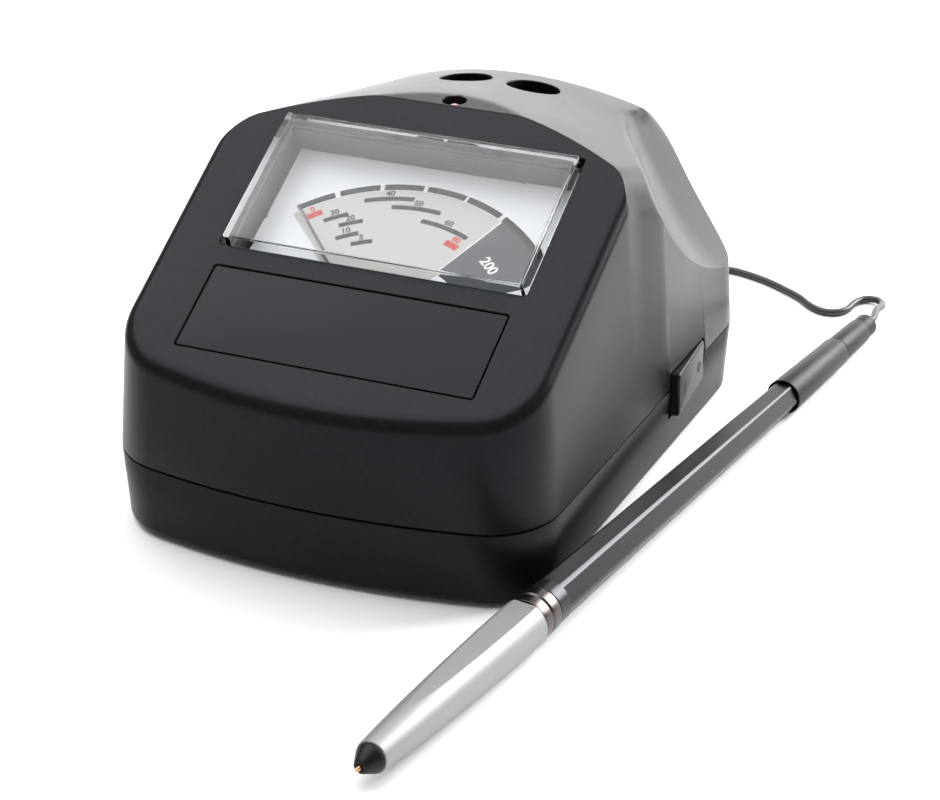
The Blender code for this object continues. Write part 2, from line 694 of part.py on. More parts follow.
def roof_form(name, inset, drop, shares, parent, upright):
    """A solid under the roof: walls upright at these heights, then rings in to a centre spine."""
    def build(bm):
        feet = outline(inset)
        rings = [[(p.x, p.y, height) for p in feet] for height in upright]
        tops = [(p - normal * draw_in(p.x, p.y, inset), normal) for p, (_, normal) in zip(feet, OUTLINE)]
        for share in (0.0,) + shares:
            depth = SHOULDER_RADIUS * share
            proud = max(0.0, depth - PANEL_EDGE_RADIUS) * PROUD_RISE_SHARE
            edge = rounding(PANEL_EDGE_RADIUS, depth) - proud
            ring = []
            for top, normal in tops:
                p = top - normal * depth
                height = min(dome_height(p.x, p.y, depth, inset), panel_height(p.y) - edge)
                ring.append((p.x, p.y, height - drop))
            rings.append(ring)
        last = [top - normal * SHOULDER_RADIUS for top, normal in tops]
        proud = (SHOULDER_RADIUS - PANEL_EDGE_RADIUS) * PROUD_RISE_SHARE
        for share in BLEND_SHARES + (1.0,):
            ring = []
            for p in last:
                spine = Vector((0, min(max(p.y, SPINE_FRONT_Y), SPINE_REAR_Y)))
                q = p.lerp(spine, share)
                dome = dome_height(q.x, q.y, SHOULDER_RADIUS, inset)
                height = min(dome, panel_height(q.y) + proud)
                ring.append((q.x, q.y, height - drop))
            rings.append(ring)
        rows = loft(bm, rings)
        bm.faces.new(list(reversed(rows[0])))
        bmesh.ops.remove_doubles(bm, verts=rows[-1], dist=GAP / 10)
        bmesh.ops.dissolve_degenerate(bm, edges=bm.edges, dist=GAP / 10)
        slack = [edge for edge in bm.edges if edge.is_boundary]
        bmesh.ops.contextual_create(bm, geom=slack)

    form = add(name, mesh_from(name, build), parent)
    form.location.z = FOOT_GAP
    return form


def panel_block(name, drop, parent):
    """Everything above the panel plane, lowered by drop."""
    tilt = math.atan(PANEL_RISE_SHARE)
    height = FOOT_GAP + panel_height(0) - drop
    holder = empty(name + "_plane", parent, (0, 0, height), Matrix.Rotation(tilt, 3, "X"))
    reach = BODY_DEPTH + OVERRUN
    return box(name, (-reach, -reach, 0), (reach, BODY_DEPTH + reach, reach), holder)


def crest_block(name, drop, parent):
    """Everything above the crest facet, lowered by drop."""
    reach = BODY_DEPTH + OVERRUN
    height = FOOT_GAP + CREST_HEIGHT - drop
    return box(name, (-reach, -reach, height), (reach, BODY_DEPTH + reach, height + reach), parent)


def post_places():
    """The four case screws: two in front beside the meter, two behind."""
    front_x = WINDOW_HALF_WIDTH + METER_CASE_SIDE + POST_CASE_GAP + POST_RADIUS
    return [
        (-front_x, POST_FRONT_Y), (front_x, POST_FRONT_Y),
        (-POST_REAR_X, POST_REAR_Y), (POST_REAR_X, POST_REAR_Y),
    ]


def rocker_axes(frame):
    """Empty on the right side's face at the rocker's middle: +X out of the wall, +Y to the rear."""
    lean = -math.atan(SIDE_SPREAD_SHARE)
    height = FOOT_GAP + ROCKER_LOW + ROCKER_HEIGHT / 2
    place = (side_x(ROCKER_CENTRE_Y), ROCKER_CENTRE_Y, height)
    return empty("rocker_axes", frame, place, Matrix.Rotation(lean, 3, "Z"))


def make_upper_shell(frame, panel, rocker):
    foot = BASE_HEIGHT + PARTING_GAP / 2
    shell = roof_form("upper_shell", 0, 0, ROOF_RING_SHARES, frame, (foot,))
    CUTTERS.objects.unlink(shell)
    PARTS.objects.link(shell)
    shell.hide_render = False
    shell.display_type = "TEXTURED"
    shell.data.materials.append(MATERIALS["case_plastic"])
    combine(shell, panel_block("panel_cut", 0, frame))
    combine(shell, crest_block("crest_cut", 0, frame))
    upright = (BASE_HEIGHT - OVERRUN, BASE_HEIGHT + LIP_HEIGHT)
    hollow = roof_form("upper_hollow", CASE_WALL, ROOF_WALL, INNER_RING_SHARES, frame, upright)
    combine(hollow, panel_block("hollow_panel_cut", ROOF_WALL, frame))
    combine(hollow, crest_block("hollow_crest_cut", ROOF_WALL, frame))
    combine(shell, hollow)
    for number, (x, y) in enumerate(post_places(), 1):
        low = FOOT_GAP + BOSS_TOP + GAP
        edge = math.copysign(abs(x) + POST_RADIUS, x)
        top = FOOT_GAP + min(roof_height(edge, y), roof_height(x, y - POST_RADIUS)) - POST_BURY
        post = cylinder(f"post_{number}", POST_RADIUS, low, top, frame, (x, y), segments=14)
        combine(shell, post, "UNION")
        hole_top = FOOT_GAP + SCREW_HEAD_DEPTH + SCREW_LENGTH + SCREW_HEAD_HEIGHT
        hole = cylinder(
            f"post_hole_{number}", SCREW_RADIUS + SCREW_HOLE_GAP, low - OVERRUN, hole_top, frame, (x, y),
            segments=12)
        combine(shell, hole)
    deep = OVERRUN + ROOF_WALL
    window = box(
        "window_cut", (-WINDOW_HALF_WIDTH - WINDOW_GAP, WINDOW_LOW - WINDOW_GAP, -deep),
        (WINDOW_HALF_WIDTH + WINDOW_GAP, WINDOW_HIGH + WINDOW_GAP, OVERRUN), panel)
    combine(shell, window)
    label = box(
        "label_cut", (-LABEL_HALF_WIDTH - GAP, -GAP, -LABEL_SINK - LABEL_THICKNESS - GAP),
        (LABEL_HALF_WIDTH + GAP, LABEL_HEIGHT + GAP, OVERRUN), panel)
    combine(shell, label)
    crest = FOOT_GAP + CREST_HEIGHT
    combine(shell, cylinder(
        "lamp_hole", LAMP_HOLE_RADIUS, crest - deep, crest + OVERRUN, frame, (0, LAMP_Y), segments=20))
    for side in (-1, 1):
        top = FOOT_GAP + roof_height(0, WELL_Y)
        combine(shell, cylinder(
            f"well_hole_{side + 2}", WELL_RADIUS, top - deep - WELL_RADIUS, top + OVERRUN, frame,
            (side * WELL_HALF_SPAN, WELL_Y)))
    combine(shell, rocker_slot("upper_rocker_slot", rocker))
    combine(shell, housing_room("upper_housing_room", rocker))


def rocker_slot(name, rocker):
    """Opening for the rocker through the wall."""
    reach_y = ROCKER_LENGTH / 2 + ROCKER_SLOT_GAP
    reach_z = ROCKER_HEIGHT / 2 + ROCKER_SLOT_GAP
    return box(name, (-CASE_WALL - OVERRUN, -reach_y, -reach_z), (OVERRUN, reach_y, reach_z), rocker)


def make_base_shell(frame, rocker):
    lip_out = CASE_WALL + GAP
    lip_in = lip_out + LIP_WALL
    top = BASE_HEIGHT - PARTING_GAP / 2
    steps = 3

    def build(bm):
        profile = []
        for i in range(steps + 1):
            turn = math.pi / 2 * i / steps
            profile.append((
                BASE_DRAFT + BASE_EDGE_RADIUS * (1 - math.sin(turn)),
                BASE_EDGE_RADIUS * (1 - math.cos(turn))))
        profile += [
            (0, top), (lip_out, top), (lip_out, top + LIP_HEIGHT), (lip_in, top + LIP_HEIGHT),
            (lip_in, FLOOR_WALL)]
        rings = [[(p.x, p.y, height) for p in outline(inset)] for inset, height in profile]
        rows = loft(bm, rings)
        bm.faces.new(list(reversed(rows[0])))
        bm.faces.new(rows[-1])

    shell = add("base_shell", mesh_from("base_shell", build), frame, (0, 0, FOOT_GAP), "case_plastic")
    for number, (x, y) in enumerate(post_places(), 1):
        low = FOOT_GAP + FLOOR_WALL / 2
        boss = cylinder(
            f"boss_{number}", POST_RADIUS, low, FOOT_GAP + BOSS_TOP, frame, (x, y), segments=14)
        combine(shell, boss, "UNION")
        room = cylinder(
            f"post_room_{number}", POST_RADIUS + GAP, FOOT_GAP + BOSS_TOP, parting_top(), frame, (x, y),
            segments=14)
        combine(shell, room)
        hole = cylinder(
            f"boss_hole_{number}", SCREW_RADIUS + SCREW_HOLE_GAP, FOOT_GAP, parting_top(), frame, (x, y),
            segments=12)
        combine(shell, hole)
        head_top = FOOT_GAP + SCREW_HEAD_DEPTH + SCREW_HEAD_HEIGHT + GAP
        sink = cylinder(
            f"screw_sink_{number}", SCREW_HEAD_RADIUS + GAP, FOOT_GAP - OVERRUN, head_top, frame, (x, y),
            segments=16)
        combine(shell, sink)
    for number, (x, y) in enumerate(foot_places(), 1):
        recess = cylinder(
            f"foot_recess_{number}", FOOT_RADIUS + GAP, FOOT_GAP - OVERRUN, FOOT_GAP + FOOT_SINK, frame,
            (x, y), segments=20)
        combine(shell, recess)
    for number, (x, y) in enumerate(peg_places(), 1):
        peg = cylinder(
            f"peg_{number}", PEG_RADIUS, FOOT_GAP + FLOOR_WALL / 2, FOOT_GAP + BOARD_LIFT - GAP, frame,
            (x, y), segments=12)
        combine(shell, peg, "UNION")
    for cut in door_channel(frame):
        combine(shell, cut)
    combine(shell, rocker_slot("base_rocker_slot", rocker))
    combine(shell, housing_room("base_housing_room", rocker))
    for cut in rear_holes(frame):
        combine(shell, cut)


def parting_top():
    """Above the base's lip."""
    return FOOT_GAP + BASE_HEIGHT + LIP_HEIGHT + OVERRUN


def foot_places():
    return [
        (-FOOT_FRONT_X, FOOT_FRONT_Y), (FOOT_FRONT_X, FOOT_FRONT_Y),
        (-FOOT_REAR_X, FOOT_REAR_Y), (FOOT_REAR_X, FOOT_REAR_Y),
    ]


def peg_places():
    return [
        (x, y)
        for x in (BOARD_LEFT + PEG_INSET, BOARD_RIGHT - PEG_INSET)
        for y in (BOARD_FRONT + PEG_INSET, BOARD_REAR - PEG_INSET)]


def make_screws_and_feet(frame):
    head = FOOT_GAP + SCREW_HEAD_DEPTH
    for number, (x, y) in enumerate(post_places(), 1):
        tip = SCREW_LENGTH + SCREW_HEAD_HEIGHT
        profile = [
            (0, tip), (SCREW_RADIUS, tip - SCREW_RADIUS),
            (SCREW_RADIUS, SCREW_HEAD_HEIGHT), (SCREW_HEAD_RADIUS, SCREW_HEAD_HEIGHT),
            (SCREW_HEAD_RADIUS, 0), (0, 0)]
        screw = turned(f"case_screw_{number}", profile, frame, "screw_steel", (x, y, head), 12)
        slot = box(
            f"screw_slot_{number}", (x - SCREW_SLOT / 2, y - SCREW_HEAD_RADIUS - GAP, head - OVERRUN),
            (x + SCREW_SLOT / 2, y + SCREW_HEAD_RADIUS + GAP, head + SCREW_SLOT), frame)
        combine(screw, slot)
    for number, (x, y) in enumerate(foot_places(), 1):
        cylinder(
            f"foot_{number}", FOOT_RADIUS, 0, FOOT_GAP + FOOT_SINK - GAP, frame, (x, y), "foot_rubber", 20)


# Meter

def make_meter(panel):
    cover_floor = -ROOF_WALL
    cover = box(
        "meter_cover", (-WINDOW_HALF_WIDTH, WINDOW_LOW, cover_floor),
        (WINDOW_HALF_WIDTH, WINDOW_HIGH, COVER_PROUD), panel, "clear_plastic")
    round_edges(cover, COVER_EDGE, 1)
    inner = WINDOW_HALF_WIDTH - COVER_WALL
    combine(cover, box(
        "cover_hollow", (-inner, WINDOW_LOW + COVER_WALL, cover_floor - OVERRUN),
        (inner, WINDOW_HIGH - COVER_WALL, COVER_PROUD - COVER_WALL), panel))

    rim = cover_floor - GAP
    floor = rim - METER_CASE_DEPTH
    half = WINDOW_HALF_WIDTH + METER_CASE_SIDE
    case = open_box(
        "meter_case", (-half, WINDOW_LOW - METER_CASE_BELOW, floor),
        (half, WINDOW_HIGH + METER_CASE_ABOVE, rim), METER_CASE_WALL, 1, panel, "meter_grey")
    dial_under = -DIAL_DEPTH - DIAL_THICKNESS
    post_v = (DIAL_LOW + DIAL_POST_RADIUS * 2, DIAL_HIGH - DIAL_POST_RADIUS * 2)
    for number, (u, v) in enumerate(
            [(side * DIAL_POST_HALF_SPAN, v) for side in (-1, 1) for v in post_v], 1):
        post = cylinder(
            f"dial_post_{number}", DIAL_POST_RADIUS, floor + METER_CASE_WALL / 2, dial_under - GAP,
            panel, (u, v), segments=12)
        combine(case, post, "UNION")

    steps = 10
    notch = []
    for i in range(steps + 1):
        turn = math.pi * (1 - i / steps)
        notch.append((PIVOT_NOTCH_RADIUS * math.cos(turn), DIAL_LOW + PIVOT_NOTCH_RADIUS * math.sin(turn)))
    dial_points = [(-DIAL_HALF_WIDTH, DIAL_LOW)] + notch + [
        (DIAL_HALF_WIDTH, DIAL_LOW), (DIAL_HALF_WIDTH, DIAL_HIGH), (-DIAL_HALF_WIDTH, DIAL_HIGH)]
    plate(
        "dial_plate", dial_points, DIAL_THICKNESS, panel, "dial_paper",
        (0, 0, -DIAL_DEPTH - DIAL_THICKNESS / 2))
    return floor


def make_movement(panel, case_floor):
    """Needle and coil on one staff, in the bore of a fixed magnet."""
    pivot = empty(
        "needle_axis", panel, (0, PIVOT_V, -DIAL_DEPTH),
        Matrix.Rotation(math.radians(NEEDLE_REST_DEG), 3, "Z"))
    half = NEEDLE_WIDTH / 2
    outline_points = [
        (-HUB_RADIUS, 0), (-half * 2, -NEEDLE_TAIL), (half * 2, -NEEDLE_TAIL), (HUB_RADIUS, 0),
        (half, HUB_RADIUS), (half / 2, NEEDLE_LENGTH), (-half / 2, NEEDLE_LENGTH), (-half, HUB_RADIUS)]
    needle = plate(
        "needle", outline_points, NEEDLE_THICKNESS, pivot, "needle_black",
        (0, 0, NEEDLE_LIFT + NEEDLE_THICKNESS / 2))
    hub_low = NEEDLE_LIFT - HUB_HEIGHT / 2
    hub = cylinder("needle_hub", HUB_RADIUS, hub_low, hub_low + HUB_HEIGHT, pivot, segments=16)
    combine(needle, hub, "UNION")
    floor = case_floor + DIAL_DEPTH + METER_CASE_WALL
    coil_low = floor + GAP * 2
    coil_high = coil_low + COIL_HEIGHT
    staff = cylinder("needle_staff", STAFF_RADIUS, coil_high + GAP, hub_low + GAP, pivot, segments=10)
    combine(needle, staff, "UNION")

    coil_turn = empty("coil_axis", pivot, (0, 0, 0))
    coil = box(
        "moving_coil", (-COIL_SPAN / 2, -COIL_THICKNESS / 2, coil_low),
        (COIL_SPAN / 2, COIL_THICKNESS / 2, coil_high), coil_turn, "copper")
    inner = COIL_SPAN / 2 - COIL_WIRE
    hole = box(
        "coil_window", (-inner, -COIL_THICKNESS, coil_low + COIL_WIRE),
        (inner, COIL_THICKNESS, coil_high - COIL_WIRE), coil_turn)
    combine(coil, hole)

    seat = empty("magnet_seat", panel, (0, PIVOT_V, -DIAL_DEPTH))
    centre = (coil_low + coil_high) / 2
    magnet = box(
        "meter_magnet", (-MAGNET_SIDE / 2, -MAGNET_SIDE / 2 + MAGNET_WEB, floor + GAP),
        (MAGNET_SIDE / 2, MAGNET_SIDE / 2, centre + CORE_HEIGHT / 2), seat, "magnet_steel")
    bore = cylinder(
        "magnet_bore", MAGNET_BORE_RADIUS, floor - OVERRUN, coil_high + OVERRUN, seat, segments=24)
    combine(magnet, bore)
    core = cylinder(
        "magnet_core", CORE_RADIUS, centre - CORE_HEIGHT / 2, centre + CORE_HEIGHT / 2, seat, segments=20)
    combine(magnet, core, "UNION")
    web = box(
        "magnet_web", (-MAGNET_WEB / 2, CORE_RADIUS / 2, centre - CORE_HEIGHT / 2),
        (MAGNET_WEB / 2, MAGNET_BORE_RADIUS + MAGNET_WEB / 2, centre + CORE_HEIGHT / 2 - GAP), seat)
    combine(magnet, web, "UNION")

    bridge_low = coil_high + GAP
    span = MAGNET_SIDE / 2
    bridge = box(
        "pivot_bridge", (-span, -BRIDGE_WIDTH / 2, centre + CORE_HEIGHT / 2 + GAP),
        (span, BRIDGE_WIDTH / 2, bridge_low + BRIDGE_THICKNESS), seat, "brass")
    arch = box(
        "bridge_arch", (-span + BRIDGE_LEG, -BRIDGE_WIDTH, centre),
        (span - BRIDGE_LEG, BRIDGE_WIDTH, bridge_low), seat)
    combine(bridge, arch)
    bearing = cylinder(
        "bridge_bearing", STAFF_RADIUS + GAP, bridge_low - OVERRUN, bridge_low + OVERRUN, seat, segments=12)
    combine(bridge, bearing)


# Small pieces in the roof

def make_label(panel):
    box(
        "label_plate", (-LABEL_HALF_WIDTH, 0, -LABEL_SINK - LABEL_THICKNESS),
        (LABEL_HALF_WIDTH, LABEL_HEIGHT, -LABEL_SINK), panel, "label_plastic")


def make_lamp(frame):
    under = CREST_HEIGHT - ROOF_WALL - GAP
    top = CREST_HEIGHT - LAMP_SINK
    base = top - LAMP_LENGTH
    holder_bore = LAMP_RADIUS + GAP
    holder_out = holder_bore + LAMP_HOLDER_WALL
    place = (0, LAMP_Y, FOOT_GAP)
    dome = [(0, top)]
    steps = 4
    for i in range(1, steps + 1):
        turn = math.pi / 2 * i / steps
        dome.append((LAMP_RADIUS * math.sin(turn), top - LAMP_RADIUS * (1 - math.cos(turn))))
    turned("lamp_lens", dome + [(LAMP_RADIUS, base), (0, base)], frame, "lamp_red", place, 16)
    holder_low = base - GAP - LAMP_HOLDER_WALL
    profile = [
        (holder_out + LAMP_FLANGE, under), (holder_out + LAMP_FLANGE, under - LAMP_HOLDER_WALL),
        (holder_out, under - LAMP_HOLDER_WALL), (holder_out, holder_low), (0, holder_low),
        (0, base - GAP), (holder_bore, base - GAP), (holder_bore, under)]
    turned("lamp_holder", profile, frame, "black_plastic", place, 16, closed=True)


def make_wells(frame):
    outer = WELL_RADIUS + WELL_CUP_WALL
    turns = [math.tau * i / WELL_RIM_CHECKS for i in range(WELL_RIM_CHECKS)]
    for side, word, disc in ((-1, "left", "disc_glass"), (1, "right", "disc_metal")):
        x = side * WELL_HALF_SPAN
        low_roof = min(
            roof_height(abs(x) + outer * math.cos(turn), WELL_Y + outer * math.sin(turn)) for turn in turns)
        rim = low_roof - ROOF_WALL - 2 * GAP
        floor = rim - WELL_DEPTH
        base = floor - WELL_CUP_WALL
        bore = WELL_RADIUS
        profile = [
            (outer, rim), (outer, base), (0, base), (0, floor), (bore, floor), (bore, rim)]
        place = (x, WELL_Y, FOOT_GAP)
        turned(f"well_cup_{word}", profile, frame, "well_black", place, 24, closed=True)
        disc_low = floor + GAP
        disc_high = disc_low + DISC_THICKNESS
        face = WELL_RADIUS - DISC_MARGIN
        turned(
            f"reference_disc_{word}", [(0, disc_high), (face, disc_high), (face, disc_low), (0, disc_low)],
            frame, disc, place, 20)


# Power rocker

def housing_room(name, rocker):
    """Room behind the wall for the switch housing."""
    reach_y = ROCKER_LENGTH / 2 + ROCKER_SLOT_GAP + ROCKER_HOUSING_WALL + GAP
    reach_z = ROCKER_HEIGHT / 2 + ROCKER_SLOT_GAP + ROCKER_HOUSING_WALL + GAP
    return box(
        name, (-CASE_WALL - ROCKER_HOUSING_DEPTH, -reach_y, -reach_z),
        (-CASE_WALL, reach_y, reach_z + OVERRUN), rocker)


def make_rocker(rocker):
    tilt = math.asin(ROCKER_PROUD / ROCKER_LENGTH)
    pivot = empty(
        "rocker_pivot", rocker, (ROCKER_PROUD / 2 - ROCKER_PIN_DEPTH, 0, 0), Matrix.Rotation(tilt, 3, "Z"))
    half_y = ROCKER_LENGTH / 2
    half_z = ROCKER_HEIGHT / 2
    button = box(
        "rocker", (ROCKER_PIN_DEPTH - ROCKER_THICKNESS, -half_y, -half_z),
        (ROCKER_PIN_DEPTH, half_y, half_z), pivot, "case_plastic")
    round_edges(button, ROCKER_EDGE)
    pins = cylinder(
        "rocker_pins", ROCKER_PIN_RADIUS, -half_z - ROCKER_PIN_LENGTH, half_z + ROCKER_PIN_LENGTH, pivot,
        segments=12)
    combine(button, pins, "UNION")

    front = -CASE_WALL - GAP
    back = front - ROCKER_HOUSING_DEPTH
    inner_y = half_y + ROCKER_SLOT_GAP
    inner_z = half_z + ROCKER_SLOT_GAP
    wall = ROCKER_HOUSING_WALL
    housing = box(
        "switch_housing", (back, -inner_y - wall, -inner_z - wall), (front, inner_y + wall, inner_z + wall),
        rocker, "black_plastic")
    pocket = box(
        "housing_pocket", (back + wall, -inner_y, -inner_z), (front + OVERRUN, inner_y, inner_z), rocker)
    combine(housing, pocket)
    holes = cylinder(
        "housing_pin_holes", ROCKER_PIN_RADIUS + GAP, -inner_z - wall * 2, inner_z + wall * 2, pivot,
        segments=12)
    combine(housing, holes)


# Battery bay

def bay_sizes():
    half = CELL_PITCH * (CELL_COUNT - 1) / 2 + CELL_RADIUS + GAP
    rear = BAY_FRONT_Y + 2 * (BAY_WALL + GAP * 2 + CONTACT_THICKNESS) + CELL_LENGTH + CELL_NUB_LENGTH
    return half, rear


def door_channel(frame):
    """Slot for the door in the base's underside, wider above where its flanges run, and the cell opening."""
    half, rear = bay_sizes()
    x = BAY_CENTRE_X
    flange = DOOR_HALF_WIDTH + DOOR_FLANGE + GAP
    skin_top = FOOT_GAP + DOOR_SKIN + GAP
    channel_top = skin_top + DOOR_FLANGE_THICKNESS + GAP
    front = BAY_FRONT_Y - DOOR_FLANGE
    reach = BODY_DEPTH + OVERRUN
    slit = DOOR_HALF_WIDTH + GAP
    return [
        box("door_slit", (x - slit, front, -OVERRUN), (x + slit, reach, skin_top), frame),
        box("door_rails", (x - flange, front, skin_top - GAP), (x + flange, reach, channel_top), frame),
        box(
            "cell_opening", (x - half, BAY_FRONT_Y + BAY_WALL, skin_top),
            (x + half, rear - BAY_WALL, FOOT_GAP + FLOOR_WALL + OVERRUN), frame),
    ]


def make_battery_bay(frame):
    half, rear = bay_sizes()
    x = BAY_CENTRE_X
    low = FOOT_GAP + FLOOR_WALL + GAP
    cell_z = low + CELL_RADIUS
    top = cell_z + CELL_RADIUS + GAP + BAY_WALL
    open_box(
        "battery_tray", (x - half - BAY_WALL, BAY_FRONT_Y, low), (x + half + BAY_WALL, rear, top),
        BAY_WALL, -1, frame, "black_plastic")
    front_plate = BAY_FRONT_Y + BAY_WALL + GAP
    rear_plate = rear - BAY_WALL - GAP
    plate_half = half - GAP
    for word, y in (("front", front_plate), ("rear", rear_plate - CONTACT_THICKNESS)):
        box(
            f"contact_plate_{word}", (x - plate_half, y, low),
            (x + plate_half, y + CONTACT_THICKNESS, low + CONTACT_HEIGHT), frame, "contact_nickel")
    for i in range(CELL_COUNT):
        offset = (i - (CELL_COUNT - 1) / 2) * CELL_PITCH
        turn = Matrix.Rotation(-math.pi / 2 if i % 2 == 0 else math.pi / 2, 3, "X")
        start = front_plate + CONTACT_THICKNESS + GAP
        end = rear_plate - CONTACT_THICKNESS - GAP
        place = (x + offset, start if i % 2 == 0 else end, cell_z)
        axis = empty(f"cell_axis_{i + 1}", frame, place, turn)
        length = end - start
        shoulder = length - CELL_NUB_LENGTH
        profile = [
            (0, length), (CELL_NUB_RADIUS, length), (CELL_NUB_RADIUS, shoulder), (CELL_RADIUS, shoulder),
            (CELL_RADIUS, 0), (0, 0)]
        turned(f"cell_{i + 1}", profile, axis, "cell_wrap", (0, 0, 0), 20)

    flange = DOOR_HALF_WIDTH + DOOR_FLANGE
    skin_top = FOOT_GAP + DOOR_SKIN
    front = BAY_FRONT_Y - DOOR_FLANGE + GAP
    reach = BODY_DEPTH + OVERRUN
    door = box(
        "battery_door", (x - flange, front, skin_top + GAP),
        (x + flange, reach, skin_top + GAP + DOOR_FLANGE_THICKNESS), frame, "case_plastic")
    skin = box(
        "door_skin", (x - DOOR_HALF_WIDTH, front, FOOT_GAP),
        (x + DOOR_HALF_WIDTH, reach, skin_top + GAP * 2), frame)
    combine(door, skin, "UNION")

    def build(bm):
        insets = (BASE_DRAFT + BASE_EDGE_RADIUS, BASE_DRAFT)
        heights = (-OVERRUN, BASE_EDGE_RADIUS)
        rings = [[(p.x, p.y, heights[0]) for p in outline(insets[0])]]
        rings.append([(p.x, p.y, 0) for p in outline(insets[0])])
        rings.append([(p.x, p.y, heights[1]) for p in outline(insets[1])])
        rings.append([(p.x, p.y, BASE_HEIGHT) for p in outline(insets[1])])
        rows = loft(bm, rings)
        bm.faces.new(list(reversed(rows[0])))
        bm.faces.new(rows[-1])

    combine(door, add("door_trim", mesh_from("door_trim", build), frame, (0, 0, FOOT_GAP)), "INTERSECT")


# Circuit board

def make_board(frame):
    low = FOOT_GAP + BOARD_LIFT
    top = low + BOARD_THICKNESS + GAP
    width = BOARD_RIGHT - BOARD_LEFT
    length = BOARD_REAR - BOARD_FRONT
    box(
        "circuit_board", (BOARD_LEFT, BOARD_FRONT, low), (BOARD_RIGHT, BOARD_REAR, low + BOARD_THICKNESS),
        frame, "board_green")
    chip = Vector((BOARD_LEFT + width * CHIP_X_SHARE, BOARD_FRONT + length * CHIP_Y_SHARE))
    half = CHIP_SIDE / 2
    box(
        "processor_chip", (chip.x - half, chip.y - half, top),
        (chip.x + half, chip.y + half, top + CHIP_HEIGHT), frame, "black_plastic")
    for number, share in enumerate(CAPACITOR_X_SHARES, 1):
        place = (BOARD_LEFT + width * share, BOARD_FRONT + length * CAPACITOR_Y_SHARE)
        cylinder(
            f"capacitor_{number}", CAPACITOR_RADIUS, top, top + CAPACITOR_HEIGHT, frame, place, "cell_wrap",
            16)
    plug = Vector((BOARD_LEFT + width * PLUG_X_SHARE, BOARD_FRONT + length * PLUG_Y_SHARE))
    box(
        "board_plug", (plug.x - PLUG_LENGTH / 2, plug.y - PLUG_WIDTH / 2, top),
        (plug.x + PLUG_LENGTH / 2, plug.y + PLUG_WIDTH / 2, top + PLUG_HEIGHT), frame, "dial_paper")


# Rear socket and cord gland

def rear_axis(name, x, height, frame):
    """Empty on the rear face: +Z straight out of the wall."""
    point, normal = rear_face(x)
    up = Vector((0, 0, 1))
    turn = Matrix((up.cross(normal), up, normal)).transposed()
    return empty(name, frame, (point.x, point.y, FOOT_GAP + height), turn)


def rear_holes(frame):
    socket = rear_axis("socket_hole_axis", SOCKET_X, SOCKET_HEIGHT, frame)
    gland = rear_axis("gland_hole_axis", GLAND_X, GLAND_HEIGHT, frame)
    depth = CASE_WALL + LIP_WALL + OVERRUN
    return [
        cylinder("socket_hole", SOCKET_RADIUS + GAP, -depth, OVERRUN, socket, segments=20),
        cylinder("gland_hole", GLAND_RADIUS + GAP, -depth, OVERRUN, gland, segments=16),
    ]


def make_rear(frame):
    socket = rear_axis("socket_axis", SOCKET_X, SOCKET_HEIGHT, frame)
    flange_face = GAP + SOCKET_FLANGE_THICKNESS
    flange = SOCKET_RADIUS + SOCKET_FLANGE
    end = flange_face - SOCKET_LENGTH
    inside = end + SOCKET_END
    pin_top = -SOCKET_END
    profile = [
        (0, pin_top), (SOCKET_PIN_RADIUS, pin_top), (SOCKET_PIN_RADIUS, inside), (SOCKET_BORE_RADIUS, inside),
        (SOCKET_BORE_RADIUS, flange_face), (flange, flange_face), (flange, GAP), (SOCKET_RADIUS, GAP),
        (SOCKET_RADIUS, end), (0, end)]
    turned("adapter_socket", profile, socket, "black_plastic", (0, 0, 0), 14)

    gland = rear_axis("gland_axis", GLAND_X, GLAND_HEIGHT, frame)
    collar = GLAND_RADIUS + GLAND_COLLAR
    inner_end = -CASE_WALL - LIP_WALL - GAP * 2
    profile = [
        (0, GLAND_LENGTH), (GLAND_TIP_RADIUS, GLAND_LENGTH), (GLAND_RADIUS, GAP + GLAND_COLLAR_THICKNESS),
        (collar, GAP + GLAND_COLLAR_THICKNESS), (collar, GAP), (GLAND_RADIUS, GAP),
        (GLAND_RADIUS, inner_end), (collar, inner_end), (collar, inner_end - GLAND_COLLAR_THICKNESS),
        (0, inner_end - GLAND_COLLAR_THICKNESS)]
    turned("cord_gland", profile, gland, "boot_rubber", (0, 0, 0), 16)
    return gland


# Probe

def probe_axes(frame):
    """Empty at the probe's tip: +Z runs back along the probe, +X is up. It lies on nose and boot."""
    heading = math.radians(PROBE_HEADING_DEG)
    drop = (NOSE_REAR_RADIUS - BOOT_FRONT_RADIUS) / (BARREL_END - NOSE_END)
    level = math.sqrt(1 - drop ** 2)
    back = Vector((math.sin(heading) * level, math.cos(heading) * level, -drop))
    up = (Vector((0, 0, 1)) - back * back.z).normalized()
    side = back.cross(up)
    height = NOSE_REAR_RADIUS / level + NOSE_END * drop + GAP / 10
    turn = Matrix((up, side, back)).transposed()
    return empty("probe_axes", frame, (PROBE_TIP_X, PROBE_TIP_Y, height), turn)


def probe_reach():
    """The probe's farthest points to the right and to the rear."""
    heading = math.radians(PROBE_HEADING_DEG)
    right = max(
        PROBE_TIP_X + station * math.sin(heading) + radius * math.cos(heading)
        for station, radius in (
            (BARREL_END, BOOT_FRONT_RADIUS), (BOOT_END, BOOT_REAR_RADIUS),
            (SLEEVE_END, SLEEVE_REAR_RADIUS), (END_CAP_END - END_CAP_CHAMFER, END_CAP_RADIUS)))
    rear = PROBE_TIP_Y + END_CAP_END * math.cos(heading)
    return right, rear


